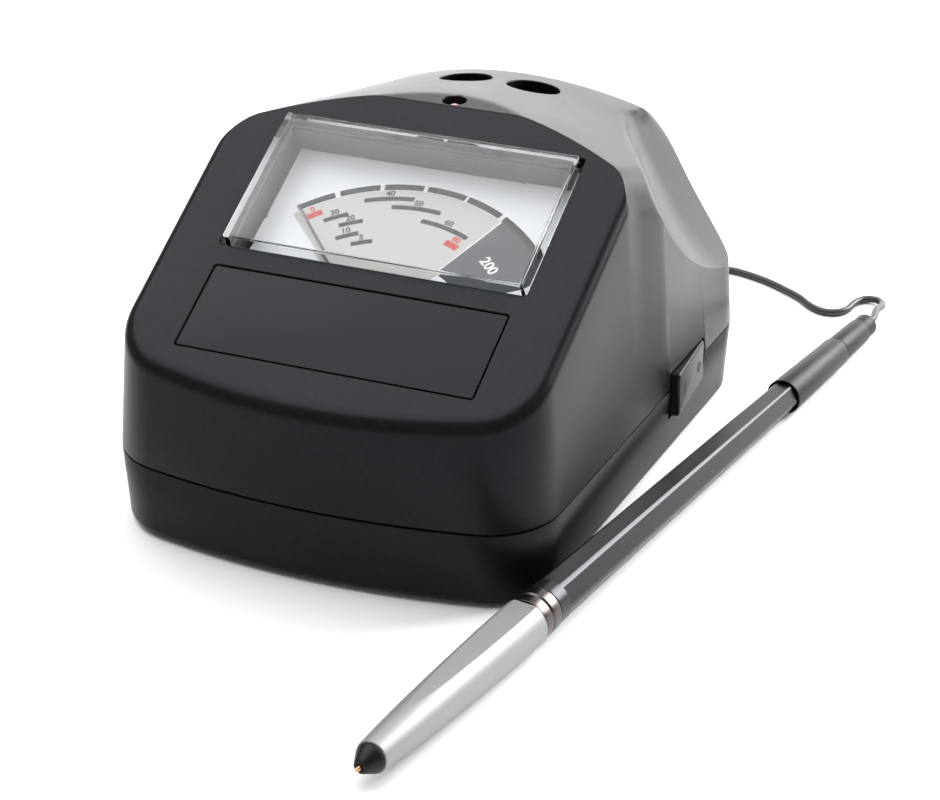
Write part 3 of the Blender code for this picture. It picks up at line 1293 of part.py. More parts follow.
def make_probe(frame, probe):
    pin_axis = empty("probe_pin_axis", probe, (0, 0, 0))
    shoulder_end = PIN_SHOULDER_START + PIN_SHOULDER_LENGTH
    turned("probe_tip_pin", [
        (0, PIN_LENGTH), (PIN_RADIUS, PIN_LENGTH), (PIN_RADIUS, shoulder_end),
        (PIN_SHOULDER_RADIUS, shoulder_end), (PIN_SHOULDER_RADIUS, PIN_SHOULDER_START),
        (PIN_RADIUS, PIN_SHOULDER_START), (PIN_RADIUS, PIN_RADIUS), (0, 0)],
        pin_axis, "copper", segments=12)
    bore = PIN_RADIUS + PIN_GAP
    turned("probe_tip_cap", [
        (TIP_STEM_RADIUS, TIP_STEM_END), (TIP_STEM_RADIUS, TIP_END), (TIP_REAR_RADIUS, TIP_END),
        (TIP_FRONT_RADIUS, TIP_START), (bore, TIP_START), (bore, TIP_STEM_END)],
        probe, "black_plastic", segments=20, closed=True)
    spring_low = shoulder_end + PIN_TRAVEL + GAP
    spring_high = CORE_ROD_START - GAP
    make_spring(probe, spring_low + SPRING_WIRE_RADIUS, spring_high - SPRING_WIRE_RADIUS)

    nose_start = TIP_END + GAP
    nose_length = NOSE_END - nose_start
    swell = NOSE_REAR_RADIUS - NOSE_FRONT_RADIUS
    nose_out = [
        (NOSE_FRONT_RADIUS + swell * rise, nose_start + nose_length * along)
        for along, rise in NOSE_SWELL_SHARES]
    nose = turned("probe_nose", [
        (PROBE_BORE_RADIUS, NOSE_END), (NOSE_REAR_RADIUS, NOSE_END), *reversed(nose_out),
        (NOSE_FRONT_RADIUS, nose_start), (PROBE_BORE_RADIUS, nose_start)],
        probe, "probe_chrome", segments=28, closed=True)
    facet_rise = (NOSE_REAR_RADIUS - NOSE_FACET_DEPTH) - nose_radius(NOSE_FACET_START)
    facet_tilt = math.atan(facet_rise / (NOSE_END - NOSE_FACET_START))
    facet_axes = empty(
        "facet_axes", probe, (nose_radius(NOSE_FACET_START), 0, NOSE_FACET_START),
        Matrix.Rotation(facet_tilt, 3, "Y"))
    combine(nose, box(
        "nose_facet", (0, -NOSE_REAR_RADIUS, -OVERRUN), (NOSE_REAR_RADIUS, NOSE_REAR_RADIUS, NOSE_END),
        facet_axes))

    collar_start = NOSE_END + GAP
    middle = (collar_start + COLLAR_END) / 2
    turned("probe_collar", [
        (PROBE_BORE_RADIUS, COLLAR_END), (COLLAR_RADIUS, COLLAR_END), (COLLAR_RADIUS, middle + COLLAR_GROOVE),
        (COLLAR_RADIUS - COLLAR_GROOVE, middle), (COLLAR_RADIUS, middle - COLLAR_GROOVE),
        (COLLAR_RADIUS, collar_start), (PROBE_BORE_RADIUS, collar_start)],
        probe, "collar_chrome", segments=24, closed=True)

    barrel_start = COLLAR_END + GAP
    spigot_end = BARREL_END + BARREL_SPIGOT_LENGTH
    barrel = turned("probe_barrel", [
        (PROBE_BORE_RADIUS, spigot_end), (BARREL_SPIGOT_RADIUS, spigot_end),
        (BARREL_SPIGOT_RADIUS, BARREL_END), (BARREL_REAR_RADIUS, BARREL_END),
        (BARREL_FRONT_RADIUS, barrel_start), (PROBE_BORE_RADIUS, barrel_start)],
        probe, "probe_black", segments=36, closed=True)
    taper = (BARREL_FRONT_RADIUS - BARREL_REAR_RADIUS) / (BARREL_END - barrel_start)
    flat_start = BARREL_FRONT_RADIUS - taper * (BARREL_FLAT_START - barrel_start) - BARREL_FLAT_DEPTH
    flat_length = BARREL_END + BARREL_SPIGOT_LENGTH / 2 - BARREL_FLAT_START
    lean = Matrix.Rotation(-math.atan(taper), 3, "Y")
    for i in range(BARREL_FLATS):
        turn = Matrix.Rotation(math.tau * i / BARREL_FLATS, 3, "Z")
        spot = turn @ Vector((flat_start, 0, BARREL_FLAT_START))
        axes = empty(f"flat_axes_{i + 1}", probe, spot, turn @ lean)
        combine(barrel, box(
            f"barrel_flat_{i + 1}", (0, -BARREL_FRONT_RADIUS, 0),
            (BARREL_FRONT_RADIUS, BARREL_FRONT_RADIUS, flat_length), axes))

    boot_start = BARREL_END + GAP
    boot_bore = BARREL_SPIGOT_RADIUS + GAP
    bore_end = spigot_end + GAP
    lip_bore = BOOT_FRONT_RADIUS - BOOT_LIP_WALL
    lip_end = boot_start + BOOT_LIP_DEPTH
    turned("probe_boot", [
        (0, BOOT_END), (BOOT_REAR_RADIUS, BOOT_END), (BOOT_FRONT_RADIUS, boot_start), (lip_bore, boot_start),
        (lip_bore, lip_end), (boot_bore, lip_end), (boot_bore, bore_end), (0, bore_end)],
        probe, "boot_rubber", segments=28)
    turned("probe_sleeve", [
        (0, SLEEVE_END), (SLEEVE_REAR_RADIUS, SLEEVE_END), (SLEEVE_FRONT_RADIUS, BOOT_END + GAP),
        (0, BOOT_END + GAP)], probe, "boot_rubber", segments=24)
    turned("probe_end_cap", [
        (0, END_CAP_END), (END_CAP_RADIUS - END_CAP_CHAMFER, END_CAP_END),
        (END_CAP_RADIUS, END_CAP_END - END_CAP_CHAMFER), (END_CAP_RADIUS, SLEEVE_END + GAP),
        (0, SLEEVE_END + GAP)], probe, "boot_rubber", segments=20)
    turned("probe_core", [
        (0, spigot_end - GAP), (CORE_ROD_RADIUS, spigot_end - GAP), (CORE_ROD_RADIUS, CORE_ROD_START),
        (0, CORE_ROD_START)], probe, "brass", segments=14)


def nose_radius(station):
    """The nose's radius at a distance from the tip."""
    stations = [0.0] + [along for along, _ in NOSE_SWELL_SHARES]
    rises = [0.0] + [rise for _, rise in NOSE_SWELL_SHARES]
    along = (station - TIP_END - GAP) / (NOSE_END - TIP_END - GAP)
    rise = float(np.interp(along, stations, rises))
    return NOSE_FRONT_RADIUS + (NOSE_REAR_RADIUS - NOSE_FRONT_RADIUS) * rise


def make_spring(probe, low, high):
    per_turn = 8
    points = []
    for i in range(SPRING_TURNS * per_turn + 1):
        turn = math.tau * i / per_turn
        height = low + (high - low) * i / (SPRING_TURNS * per_turn)
        points.append((SPRING_RADIUS * math.cos(turn), SPRING_RADIUS * math.sin(turn), height))
    tube("probe_tip_spring", points, SPRING_WIRE_RADIUS, probe, "contact_nickel", 1)


# Cord

def smooth_route(points, spacing):
    """Evenly spaced points on a smooth curve through the route's points."""
    points = [Vector(point) for point in points]
    ends = [points[0] * 2 - points[1]] + points + [points[-1] * 2 - points[-2]]
    dense = []
    cuts = 16
    for a, b, c, d in zip(ends, ends[1:], ends[2:], ends[3:]):
        for i in range(cuts):
            t = i / cuts
            dense.append(
                b + (c - a) * (t / 2) + (a * 2 - b * 5 + c * 4 - d) * (t * t / 2)
                + (b * 3 - a - c * 3 + d) * (t ** 3 / 2))
    dense.append(points[-1])
    lengths = [0.0]
    for here, there in zip(dense, dense[1:]):
        lengths.append(lengths[-1] + (there - here).length)
    count = max(2, round(lengths[-1] / spacing))
    wanted = np.linspace(0, lengths[-1], count + 1)
    columns = [np.interp(wanted, lengths, [point[axis] for point in dense]) for axis in range(3)]
    return [Vector(point) for point in zip(*columns)]


def coil_points():
    """Turns wound in and out again, layer on layer, with a straight lead at each end."""
    turns = COIL_TURNS_PER_LAYER * COIL_LAYERS
    points = []
    for i in range(turns * COIL_POINTS_PER_TURN + 1):
        turn = i / COIL_POINTS_PER_TURN
        layer, along = divmod(turn, COIL_TURNS_PER_LAYER)
        swept = along if layer % 2 == 0 else COIL_TURNS_PER_LAYER - along
        radius = COIL_OUTER_RADIUS - COIL_STEP * swept
        nearest = round(turn / COIL_TURNS_PER_LAYER)
        height = min(layer, COIL_LAYERS - 1)
        if 0 < nearest < COIL_LAYERS:
            climb = min(0.5, max(-0.5, 2 * (turn - nearest * COIL_TURNS_PER_LAYER)))
            height = nearest - 0.5 + climb
        angle = math.tau * turn
        points.append(Vector((
            COIL_CENTRE[0] + radius * math.cos(angle),
            BODY_DEPTH + COIL_CENTRE[1] + radius * math.sin(angle), CORD_REST + COIL_STEP * height)))
    lead = Vector((0, 2 * CORD_RADIUS, 0))
    return [points[0] - lead] + points + [points[-1] + lead]


def least_gap(points, reach):
    """The coil's smallest gap to itself, between points more than reach apart along the cord."""
    where = np.array([tuple(point) for point in points])
    along = np.concatenate(([0], np.cumsum(np.linalg.norm(np.diff(where, axis=0), axis=1))))
    apart = np.linalg.norm(where[:, None] - where[None], axis=2)
    apart[np.abs(along[:, None] - along[None]) < reach] = np.inf
    return float(apart.min()) - 2 * CORD_RADIUS


def make_cord(frame, gland, probe):
    coil = coil_points()
    print("coil gap to itself, mm:", round(least_gap(coil, math.pi * COIL_OUTER_RADIUS) * 1000, 3))
    tube("cord_coil", coil, CORD_RADIUS, frame, "cord_black", 1)
    bpy.context.view_layer.update()
    to_frame = frame.matrix_world.inverted()
    out = to_frame @ gland.matrix_world @ Vector((0, 0, GLAND_LENGTH + GAP))
    straight = to_frame @ gland.matrix_world @ Vector((0, 0, GLAND_LENGTH + GAP + CORD_SPACING))
    coil_start = coil[0] - Vector((0, GAP, 0))
    into_coil = coil[0] - Vector((0, GAP + CORD_SPACING, 0))
    rear = Vector((0, BODY_DEPTH, 0))
    down = [rear + Vector(point) for point in TO_COIL_ROUTE]
    first = smooth_route([out, straight, *down, into_coil, coil_start], CORD_SPACING)
    tube("cord_to_coil", first, CORD_RADIUS, frame, "cord_black")
    coil_end = coil[-1] + Vector((0, GAP, 0))
    from_coil = coil[-1] + Vector((0, GAP + CORD_SPACING, 0))
    cap = to_frame @ probe.matrix_world @ Vector((0, 0, END_CAP_END + GAP))
    before_cap = to_frame @ probe.matrix_world @ Vector((0, 0, END_CAP_END + GAP + CORD_SPACING))
    end = Vector((cap.x, cap.y, 0))
    away = [rear + Vector(point) for point in FROM_COIL_ROUTE]
    away += [end + Vector(point) for point in TO_PROBE_ROUTE]
    second = smooth_route([coil_end, from_coil, *away, before_cap, cap], CORD_SPACING)
    tube("cord_to_probe", second, CORD_RADIUS, frame, "cord_black")
    length = 0.0
    for run in (first, coil, second):
        length += sum((b - a).length for a, b in zip(run, run[1:]))
    print("cord length, mm:", round(length * 1000, 1))


def main():
    widest = max(point.x for point, _ in OUTLINE)
    right, rear = probe_reach()
    middle = ((right - widest) / 2, (rear + PROBE_TIP_Y) / 2)
    frame = empty("tester_frame", None, (-middle[0], -middle[1], 0))
    tilt = math.atan(PANEL_RISE_SHARE)
    panel = empty(
        "panel_axes", frame, (0, PANEL_ORIGIN_Y, FOOT_GAP + panel_height(PANEL_ORIGIN_Y)),
        Matrix.Rotation(tilt, 3, "X"))
    rocker = rocker_axes(frame)
    make_upper_shell(frame, panel, rocker)
    make_base_shell(frame, rocker)
    make_screws_and_feet(frame)
    make_movement(panel, make_meter(panel))
    make_label(panel)
    make_lamp(frame)
    make_wells(frame)
    make_rocker(rocker)
    make_battery_bay(frame)
    make_board(frame)
    gland = make_rear(frame)
    probe = probe_axes(frame)
    make_probe(frame, probe)
    make_cord(frame, gland, probe)


main()
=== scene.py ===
import math

import bmesh
import bpy
import numpy as np
from mathutils import Matrix, Vector


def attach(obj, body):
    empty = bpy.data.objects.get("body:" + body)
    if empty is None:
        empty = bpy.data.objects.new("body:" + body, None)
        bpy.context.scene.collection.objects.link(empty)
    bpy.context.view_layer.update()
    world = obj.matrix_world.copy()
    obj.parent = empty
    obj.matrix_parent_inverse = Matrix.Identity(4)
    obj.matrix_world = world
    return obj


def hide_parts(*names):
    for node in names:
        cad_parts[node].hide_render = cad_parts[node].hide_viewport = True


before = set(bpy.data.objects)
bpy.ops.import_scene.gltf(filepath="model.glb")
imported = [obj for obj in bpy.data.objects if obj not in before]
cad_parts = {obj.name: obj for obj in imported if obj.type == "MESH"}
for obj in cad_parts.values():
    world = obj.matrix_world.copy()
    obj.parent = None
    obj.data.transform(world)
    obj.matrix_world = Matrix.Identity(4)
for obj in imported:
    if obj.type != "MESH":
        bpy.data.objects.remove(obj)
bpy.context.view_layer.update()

# Looks of a desk diamond tester with a pen probe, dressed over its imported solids.
# Metres throughout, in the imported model's own axes: +Z up, the meter faces -Y.

scene = bpy.context.scene
scene.view_settings.view_transform = "Standard"

# Camera, at the photograph's angle

cameraSetup = {
    "place": (0.200456, -0.473918, 0.2865),
    "right": (0.9246, 0.3808, -0.0007),
    "up": (-0.1729, 0.4214, 0.8902),
    "lens": 100.9,
    "sensorWidth": 36.0,
    "clip": (0.01, 20),
}


def makeCamera():
    data = bpy.data.cameras.new("camera")
    data.lens = cameraSetup["lens"]
    data.sensor_width = cameraSetup["sensorWidth"]
    data.clip_start, data.clip_end = cameraSetup["clip"]
    right = Vector(cameraSetup["right"]).normalized()
    up = Vector(cameraSetup["up"])
    up = (up - right * up.dot(right)).normalized()
    turn = Matrix((right, up, right.cross(up))).transposed().to_4x4()
    camera = bpy.data.objects.new("camera", data)
    camera.matrix_world = Matrix.Translation(cameraSetup["place"]) @ turn
    scene.collection.objects.link(camera)
    scene.camera = camera


makeCamera()
print("camera placed")

# Axes that the pieces are built in

axesSetup = {
    "caseShift": (-0.013044, -0.048418, 0.0),
    "footGap": 0.001,
    "baseHeight": 0.017,
    "seam": 0.00015,
    "panelOriginY": 0.0115,
    "panelFrontHeight": 0.03827,
    "panelRise": 0.4986,
    "socketPlace": (0.0050, 0.0090),
    "glandPlace": (0.0220, 0.0075),
    "rockerPlace": (0.09165, 0.01635),
    "probeTip": (0.0420, -0.0646),
    "probeHeading": 9.23,
    "probeLift": 0.00003,
    "noseRadius": 0.00535,
    "noseEnd": 0.0611,
    "bootRadius": 0.00425,
    "barrelEnd": 0.1805,
    "gap": 0.0003,
}

caseForm = {
    "frontHalfWidth": 0.04956,
    "sideSpread": 0.05,
    "depth": 0.140,
    "frontBow": 0.179,
    "frontCorner": 0.0167,
    "rearBow": 0.160,
    "rearCorner": 0.0177,
    "crestHeight": 0.078,
    "crestStart": 0.079684,
    "crestEnd": 0.087404,
    "domeFall": 0.192,
    "crownFront": 0.1085,
    "crownRear": 0.087,
    "crownRearY": 0.120,
    "shoulder": 0.0076,
    "panelEdge": 0.0027,
    "scoopApex": 0.0275,
    "scoopAxisY": 0.1171,
    "scoopAxisHeight": 0.0745,
    "scoopSpread": 0.419,
    "scoopFall": 0.224,
    "scoopHollow": 0.0161,
    "scoopBlend": 0.0022,
    "draft": 0.070,           # how far the upper walls lean in, for each metre of height
    "tailStart": 0.12698,
    "tailFall": 1.6,
    "tailBlend": 0.006,
    "crease": 0.00028,        # softness of the crisp creases round the panel and crest
    "spine": (0.045, 0.104),
    "wall": 0.0022,
    "roof": 0.0028,
}

caseFrame = Matrix.Translation(axesSetup["caseShift"])
panelFrame = (
    caseFrame
    @ Matrix.Translation((
        0, axesSetup["panelOriginY"],
        axesSetup["footGap"] + axesSetup["panelFrontHeight"]
        + axesSetup["panelRise"] * axesSetup["panelOriginY"]))
    @ Matrix.Rotation(math.atan(axesSetup["panelRise"]), 4, "X"))


def onCase(x=0.0, y=0.0, height=0.0):
    # the case's own axes, moved; heights are from the base's underside
    return caseFrame @ Matrix.Translation((x, y, axesSetup["footGap"] + height))


def probeAxes():
    heading = math.radians(axesSetup["probeHeading"])
    drop = (axesSetup["noseRadius"] - axesSetup["bootRadius"]) / (
        axesSetup["barrelEnd"] - axesSetup["noseEnd"])
    level = math.sqrt(1 - drop ** 2)
    back = Vector((math.sin(heading) * level, math.cos(heading) * level, -drop))
    up = (Vector((0, 0, 1)) - back * back.z).normalized()
    height = axesSetup["noseRadius"] / level + axesSetup["noseEnd"] * drop + axesSetup["probeLift"]
    turn = Matrix((up, back.cross(up), back)).transposed().to_4x4()
    return caseFrame @ Matrix.Translation((*axesSetup["probeTip"], height)) @ turn


def rearAxes(x, height):
    # straight out of the bowed rear wall
    radius = caseForm["rearBow"]
    turn = math.acos(x / radius)
    normal = Vector((math.cos(turn), math.sin(turn), 0))
    place = Vector((0, caseForm["depth"] - radius, 0)) + normal * radius
    up = Vector((0, 0, 1))
    axes = Matrix((up.cross(normal), up, normal)).transposed().to_4x4()
    return onCase(place.x, place.y, height) @ axes


def sideX(y):
    return caseForm["frontHalfWidth"] + caseForm["sideSpread"] * y


def rockerAxes(y, height):
    # on the side wall: x out, y back
    place = caseFrame @ Matrix.Translation((sideX(y), y, height))
    return place @ Matrix.Rotation(-math.atan(caseForm["sideSpread"]), 4, "Z")


probeFrame = probeAxes()
socketFrame = rearAxes(*axesSetup["socketPlace"])
glandFrame = rearAxes(*axesSetup["glandPlace"])
rockerFrame = rockerAxes(*axesSetup["rockerPlace"])
# turns those axes to x along the wall, y up and z out
slotTurn = Matrix(((0, 0, 1), (1, 0, 0), (0, 1, 0))).to_4x4()

# Shader node groups and materials


def newGroup(name, inputs, outputs):
    group = bpy.data.node_groups.new(name, "ShaderNodeTree")
    for label, value in inputs.items():
        socket = group.interface.new_socket(name=label, in_out="INPUT", socket_type="NodeSocketFloat")
        socket.default_value = value
    for label in outputs:
        group.interface.new_socket(name=label, in_out="OUTPUT", socket_type="NodeSocketFloat")
    given = group.nodes.new("NodeGroupInput").outputs
    made = group.nodes.new("NodeGroupOutput").inputs
    where = group.nodes.new("ShaderNodeTexCoord").outputs["Object"]
    return group, given, made, where


def setOrLink(tree, socket, value):
    if isinstance(value, (int, float)):
        socket.default_value = value
    elif isinstance(value, tuple):
        socket.default_value = (*value, 1)
    else:
        tree.links.new(value, socket)


def mathNode(tree, operation, a, b, clamp=False):
    node = tree.nodes.new("ShaderNodeMath")
    node.operation = operation
    node.use_clamp = clamp
    setOrLink(tree, node.inputs[0], a)
    setOrLink(tree, node.inputs[1], b)
    return node.outputs[0]


def times(tree, a, b):
    return mathNode(tree, "MULTIPLY", a, b)


def noiseNode(tree, vector, scale, detail=2.0, rough=0.5):
    node = tree.nodes.new("ShaderNodeTexNoise")
    node.inputs["Detail"].default_value = detail
    node.inputs["Roughness"].default_value = rough
    setOrLink(tree, node.inputs["Scale"], scale)
    tree.links.new(vector, node.inputs["Vector"])
    return node.outputs["Fac"]


def rangeNode(tree, value, low, high, toLow=0.0, toHigh=1.0):
    node = tree.nodes.new("ShaderNodeMapRange")
    node.interpolation_type = "SMOOTHSTEP"
    tree.links.new(value, node.inputs["Value"])
    node.inputs["From Min"].default_value = low
    node.inputs["From Max"].default_value = high
    node.inputs["To Min"].default_value = toLow
    node.inputs["To Max"].default_value = toHigh
    return node.outputs["Result"]


def stretched(tree, vector, scale, turn=(0.0, 0.0, 0.0)):
    node = tree.nodes.new("ShaderNodeMapping")
    node.inputs["Scale"].default_value = scale
    node.inputs["Rotation"].default_value = turn
    tree.links.new(vector, node.inputs["Vector"])
    return node.outputs["Vector"]


def around(tree, noise, spread):
    # a noise as a change about zero
    return times(tree, mathNode(tree, "SUBTRACT", noise, 0.5), spread)


grainSetup = {
    "inputs": {"Scale": 2600.0, "Roughness": 0.45, "Spread": 0.06},
    # detail and roughness of the pits
    "fine": (3.0, 0.6),
    "coarseScale": 0.35,
    "coarseHeight": 0.6,
    # scale and detail of the sheen
    "slow": (38.0, 3.0),
    "slowSpread": 2.0,
    "toneRange": (0.3, 0.7),
}


def makeGrainGroup():
    # spark-eroded mould texture: fine pits over a slow change of sheen
    setup = grainSetup
    group, given, made, where = newGroup("mouldedGrain", setup["inputs"], ("Height", "Roughness", "Tone"))
    fine = noiseNode(group, where, given["Scale"], *setup["fine"])
    coarse = noiseNode(group, where, times(group, given["Scale"], setup["coarseScale"]))
    slow = noiseNode(group, where, *setup["slow"])
    height = mathNode(group, "ADD", fine, times(group, coarse, setup["coarseHeight"]))
    change = times(group, around(group, slow, given["Spread"]), setup["slowSpread"])
    group.links.new(height, made["Height"])
    group.links.new(mathNode(group, "ADD", given["Roughness"], change), made["Roughness"])
    group.links.new(rangeNode(group, coarse, *setup["toneRange"]), made["Tone"])
    return group


marksSetup = {
    "inputs": {"Scale": 60.0, "Amount": 0.3},
    "stretch": (1.0, 0.12, 1.0),
    "turn": (0.4, 0.2, 0.6),
    "streakScale": 14.0,
    "streakRange": (0.62, 0.72),
    "cloudDetail": 3.0,
    "cloudRange": (0.45, 0.7),
}


def makeMarksGroup():
    # faint wipe marks and hairlines left by handling
    setup = marksSetup
    group, given, made, where = newGroup("handlingMarks", setup["inputs"], ("Mask",))
    along = stretched(group, where, setup["stretch"], setup["turn"])
    streak = noiseNode(group, along, times(group, given["Scale"], setup["streakScale"]))
    cloud = noiseNode(group, where, given["Scale"], setup["cloudDetail"])
    streak = rangeNode(group, streak, *setup["streakRange"])
    mask = times(group, streak, rangeNode(group, cloud, *setup["cloudRange"]))
    group.links.new(times(group, mask, given["Amount"]), made["Mask"])
    return group


dustSetup = {
    "inputs": {"Scale": 420.0, "Amount": 0.5},
    "speckRange": (0.03, 0.07, 1.0, 0.0),
    "patchScale": 90.0,
    "patchRange": (0.56, 0.66),
    "colour": (0.35, 0.35, 0.36),
}


def makeDustGroup():
    # a few small pale specks
    setup = dustSetup
    group, given, made, where = newGroup("dustSpecks", setup["inputs"], ("Mask",))
    cells = group.nodes.new("ShaderNodeTexVoronoi")
    cells.feature = "F1"
    group.links.new(where, cells.inputs["Vector"])
    group.links.new(given["Scale"], cells.inputs["Scale"])
    speck = rangeNode(group, cells.outputs["Distance"], *setup["speckRange"])
    patch = rangeNode(group, noiseNode(group, where, setup["patchScale"]), *setup["patchRange"])
    group.links.new(times(group, times(group, speck, patch), given["Amount"]), made["Mask"])
    return group


turnedSetup = {
    "inputs": {"Scale": 2400.0, "Roughness": 0.15, "Spread": 0.08},
    "squeeze": (0.02, 0.02, 1.0),
    "darker": 0.86,
}


def makeTurnedGroup():
    # fine rings round a turned or polished piece's own Z axis
    setup = turnedSetup
    group, given, made, where = newGroup("turnedLines", setup["inputs"], ("Height", "Roughness"))
    rings = noiseNode(group, stretched(group, where, setup["squeeze"]), given["Scale"])
    change = around(group, rings, given["Spread"])
    group.links.new(rings, made["Height"])
    group.links.new(mathNode(group, "ADD", given["Roughness"], change), made["Roughness"])
    return group


effects = {
    "grain": makeGrainGroup(),
    "marks": makeMarksGroup(),
    "dust": makeDustGroup(),
    "turned": makeTurnedGroup(),
}


def newMaterial(name):
    material = bpy.data.materials.new(name)
    material.use_nodes = True
    return material, material.node_tree, material.node_tree.nodes["Principled BSDF"].inputs


def placeGroup(tree, effect, **values):
    node = tree.nodes.new("ShaderNodeGroup")
    node.node_tree = effects[effect]
    for label, value in values.items():
        node.inputs[label].default_value = value
    return node.outputs


def mixColour(tree, factor, a, b):
    node = tree.nodes.new("ShaderNodeMix")
    node.data_type = "RGBA"
    for slot, value in ((0, factor), (6, a), (7, b)):
        setOrLink(tree, node.inputs[slot], value)
    return node.outputs[2]


def roughen(tree, shader, roughness, marks):
    if marks:
        wipes = placeGroup(tree, "marks", Amount=marks)
        roughness = mathNode(tree, "ADD", roughness, wipes["Mask"], clamp=True)
    tree.links.new(roughness, shader["Roughness"])


def bump(tree, shader, height, distance):
    node = tree.nodes.new("ShaderNodeBump")
    node.inputs["Strength"].default_value = 1.0
    node.inputs["Distance"].default_value = distance
    tree.links.new(height, node.inputs["Height"])
    tree.links.new(node.outputs["Normal"], shader["Normal"])


def mouldedPlastic(
        name, dark, light, rough, scale=2600.0, depth=0.000012, specular=0.5, dust=0.0, marks=0.0,
        spread=0.06, tint=1.0):
    # a moulding with grain, slow sheen changes, wipe marks and dust
    material, tree, shader = newMaterial(name)
    grain = placeGroup(tree, "grain", Scale=scale, Roughness=rough, Spread=spread)
    tone = mixColour(tree, grain["Tone"], dark, light)
    if dust:
        tone = mixColour(tree, placeGroup(tree, "dust", Amount=dust)["Mask"], tone, dustSetup["colour"])
    tree.links.new(tone, shader["Base Color"])
    roughen(tree, shader, grain["Roughness"], marks)
    shader["Specular IOR Level"].default_value = specular
    shader["Specular Tint"].default_value = (tint, tint, 1, 1)
    bump(tree, shader, grain["Height"], depth)
    return material


def turnedMetal(name, colour, rough, spread=0.08, scale=2400.0, depth=0.000002, marks=0.0, metallic=1.0):
    material, tree, shader = newMaterial(name)
    shader["Metallic"].default_value = metallic
    rings = placeGroup(tree, "turned", Scale=scale, Roughness=rough, Spread=spread)
    darker = tuple(value * turnedSetup["darker"] for value in colour)
    tree.links.new(mixColour(tree, rings["Height"], darker, colour), shader["Base Color"])
    roughen(tree, shader, rings["Roughness"], marks)
    bump(tree, shader, rings["Height"], depth)
    return material


clearLook = {"colour": (0.98, 0.99, 1.0, 1), "bend": 1.30, "marksScale": 45.0, "marks": 0.03}


def clearPlastic(name):
    # acrylic with a few wipe marks
    material, tree, shader = newMaterial(name)
    shader["Base Color"].default_value = clearLook["colour"]
    shader["Transmission Weight"].default_value = 1.0
    shader["IOR"].default_value = clearLook["bend"]
    wipes = placeGroup(tree, "marks", Scale=clearLook["marksScale"], Amount=clearLook["marks"])
    tree.links.new(wipes["Mask"], shader["Roughness"])
    return material


# the rim colour is a painted sheen, mixed in where the lens turns away from view
lampLookWithPaintedSheen = {
    "blend": 0.35,
    "middle": (0.30, 0.05, 0.05),
    "rim": (0.85, 0.62, 0.62),
    "grain": {"Scale": 900.0, "Roughness": 0.18, "Spread": 0.04},
    "depth": 0.000003,
}


def lampPlasticWithPaintedSheen(name):
    # a tinted diffuse lens with a painted sheen: its colour lightens towards the rim, where the surface turns
    # away from view
    material, tree, shader = newMaterial(name)
    facing = tree.nodes.new("ShaderNodeLayerWeight")
    facing.inputs["Blend"].default_value = lampLookWithPaintedSheen["blend"]
    grain = placeGroup(tree, "grain", **lampLookWithPaintedSheen["grain"])
    # painted sheen: the pale rim colour grows as the surface turns away from view
    tone = mixColour(tree, facing.outputs["Facing"], lampLookWithPaintedSheen["middle"], lampLookWithPaintedSheen["rim"])
    tree.links.new(tone, shader["Base Color"])
    tree.links.new(grain["Roughness"], shader["Roughness"])
    bump(tree, shader, grain["Height"], lampLookWithPaintedSheen["depth"])
    return material


# name, dark tone, light tone, roughness, and what differs from a plain moulding
plastics = {
    "case": (
        "blackMoulding", (0.0060, 0.0059, 0.0072), (0.0078, 0.0077, 0.0094), 0.31,
        {"dust": 0.03, "marks": 0.04, "specular": 0.125, "tint": 0.84}),
    "label": (
        "labelPlate", (0.0055, 0.0054, 0.0064), (0.0065, 0.0064, 0.0075), 0.30,
        {"scale": 3600.0, "depth": 0.000005, "specular": 0.135, "tint": 0.84}),
    "meterGrey": ("greyMoulding", (0.10, 0.105, 0.115), (0.12, 0.125, 0.135), 0.45, {"scale": 1800.0}),
    "dialCard": (
        "dialCard", (0.86, 0.875, 0.90), (0.88, 0.895, 0.92), 0.6, {"scale": 3000.0, "depth": 0.000004}),
    "dialWhite": (
        "dialWhiteInk", (0.86, 0.87, 0.88), (0.9, 0.9, 0.91), 0.55, {"scale": 3000.0, "depth": 0.000003}),
    "needle": (
        "needleEnamel", (0.015, 0.015, 0.016), (0.022, 0.022, 0.023), 0.35,
        {"scale": 4000.0, "depth": 0.000003}),
    "innerBlack": ("innerBlack", (0.006, 0.006, 0.0065), (0.009, 0.009, 0.0095), 0.55, {"scale": 2200.0}),
    "softBlack": (
        "softSatin", (0.010, 0.010, 0.0115), (0.013, 0.013, 0.0145), 0.44,
        {"scale": 3200.0, "depth": 0.000008, "dust": 0.05, "marks": 0.06, "specular": 0.18}),
    "glossBlack": (
        "glossBarrel", (0.008, 0.008, 0.0088), (0.010, 0.010, 0.011), 0.30,
        {"scale": 500.0, "depth": 0.0000004, "marks": 0.08, "spread": 0.03, "specular": 0.30, "tint": 0.88}),
    "cord": ("cordJacket", (0.016, 0.016, 0.017), (0.022, 0.022, 0.023), 0.42, {"depth": 0.00001}),
    "foot": (
        "footRubber", (0.010, 0.010, 0.010), (0.016, 0.016, 0.016), 0.85,
        {"scale": 1500.0, "depth": 0.00003}),
    "board": ("solderMask", (0.012, 0.10, 0.042), (0.018, 0.13, 0.055), 0.35, {"scale": 900.0}),
    "sleeve": ("plainSleeve", (0.04, 0.06, 0.10), (0.05, 0.075, 0.12), 0.30, {"scale": 700.0}),
    "glassDisc": (
        "glassDisc", (0.05, 0.085, 0.075), (0.06, 0.10, 0.09), 0.08, {"scale": 300.0, "depth": 0.000001}),
    "tipBlack": (
        "tipMoulding", (0.004, 0.004, 0.0045), (0.006, 0.006, 0.0065), 0.42,
        {"scale": 3000.0, "depth": 0.000004, "specular": 0.2}),
}
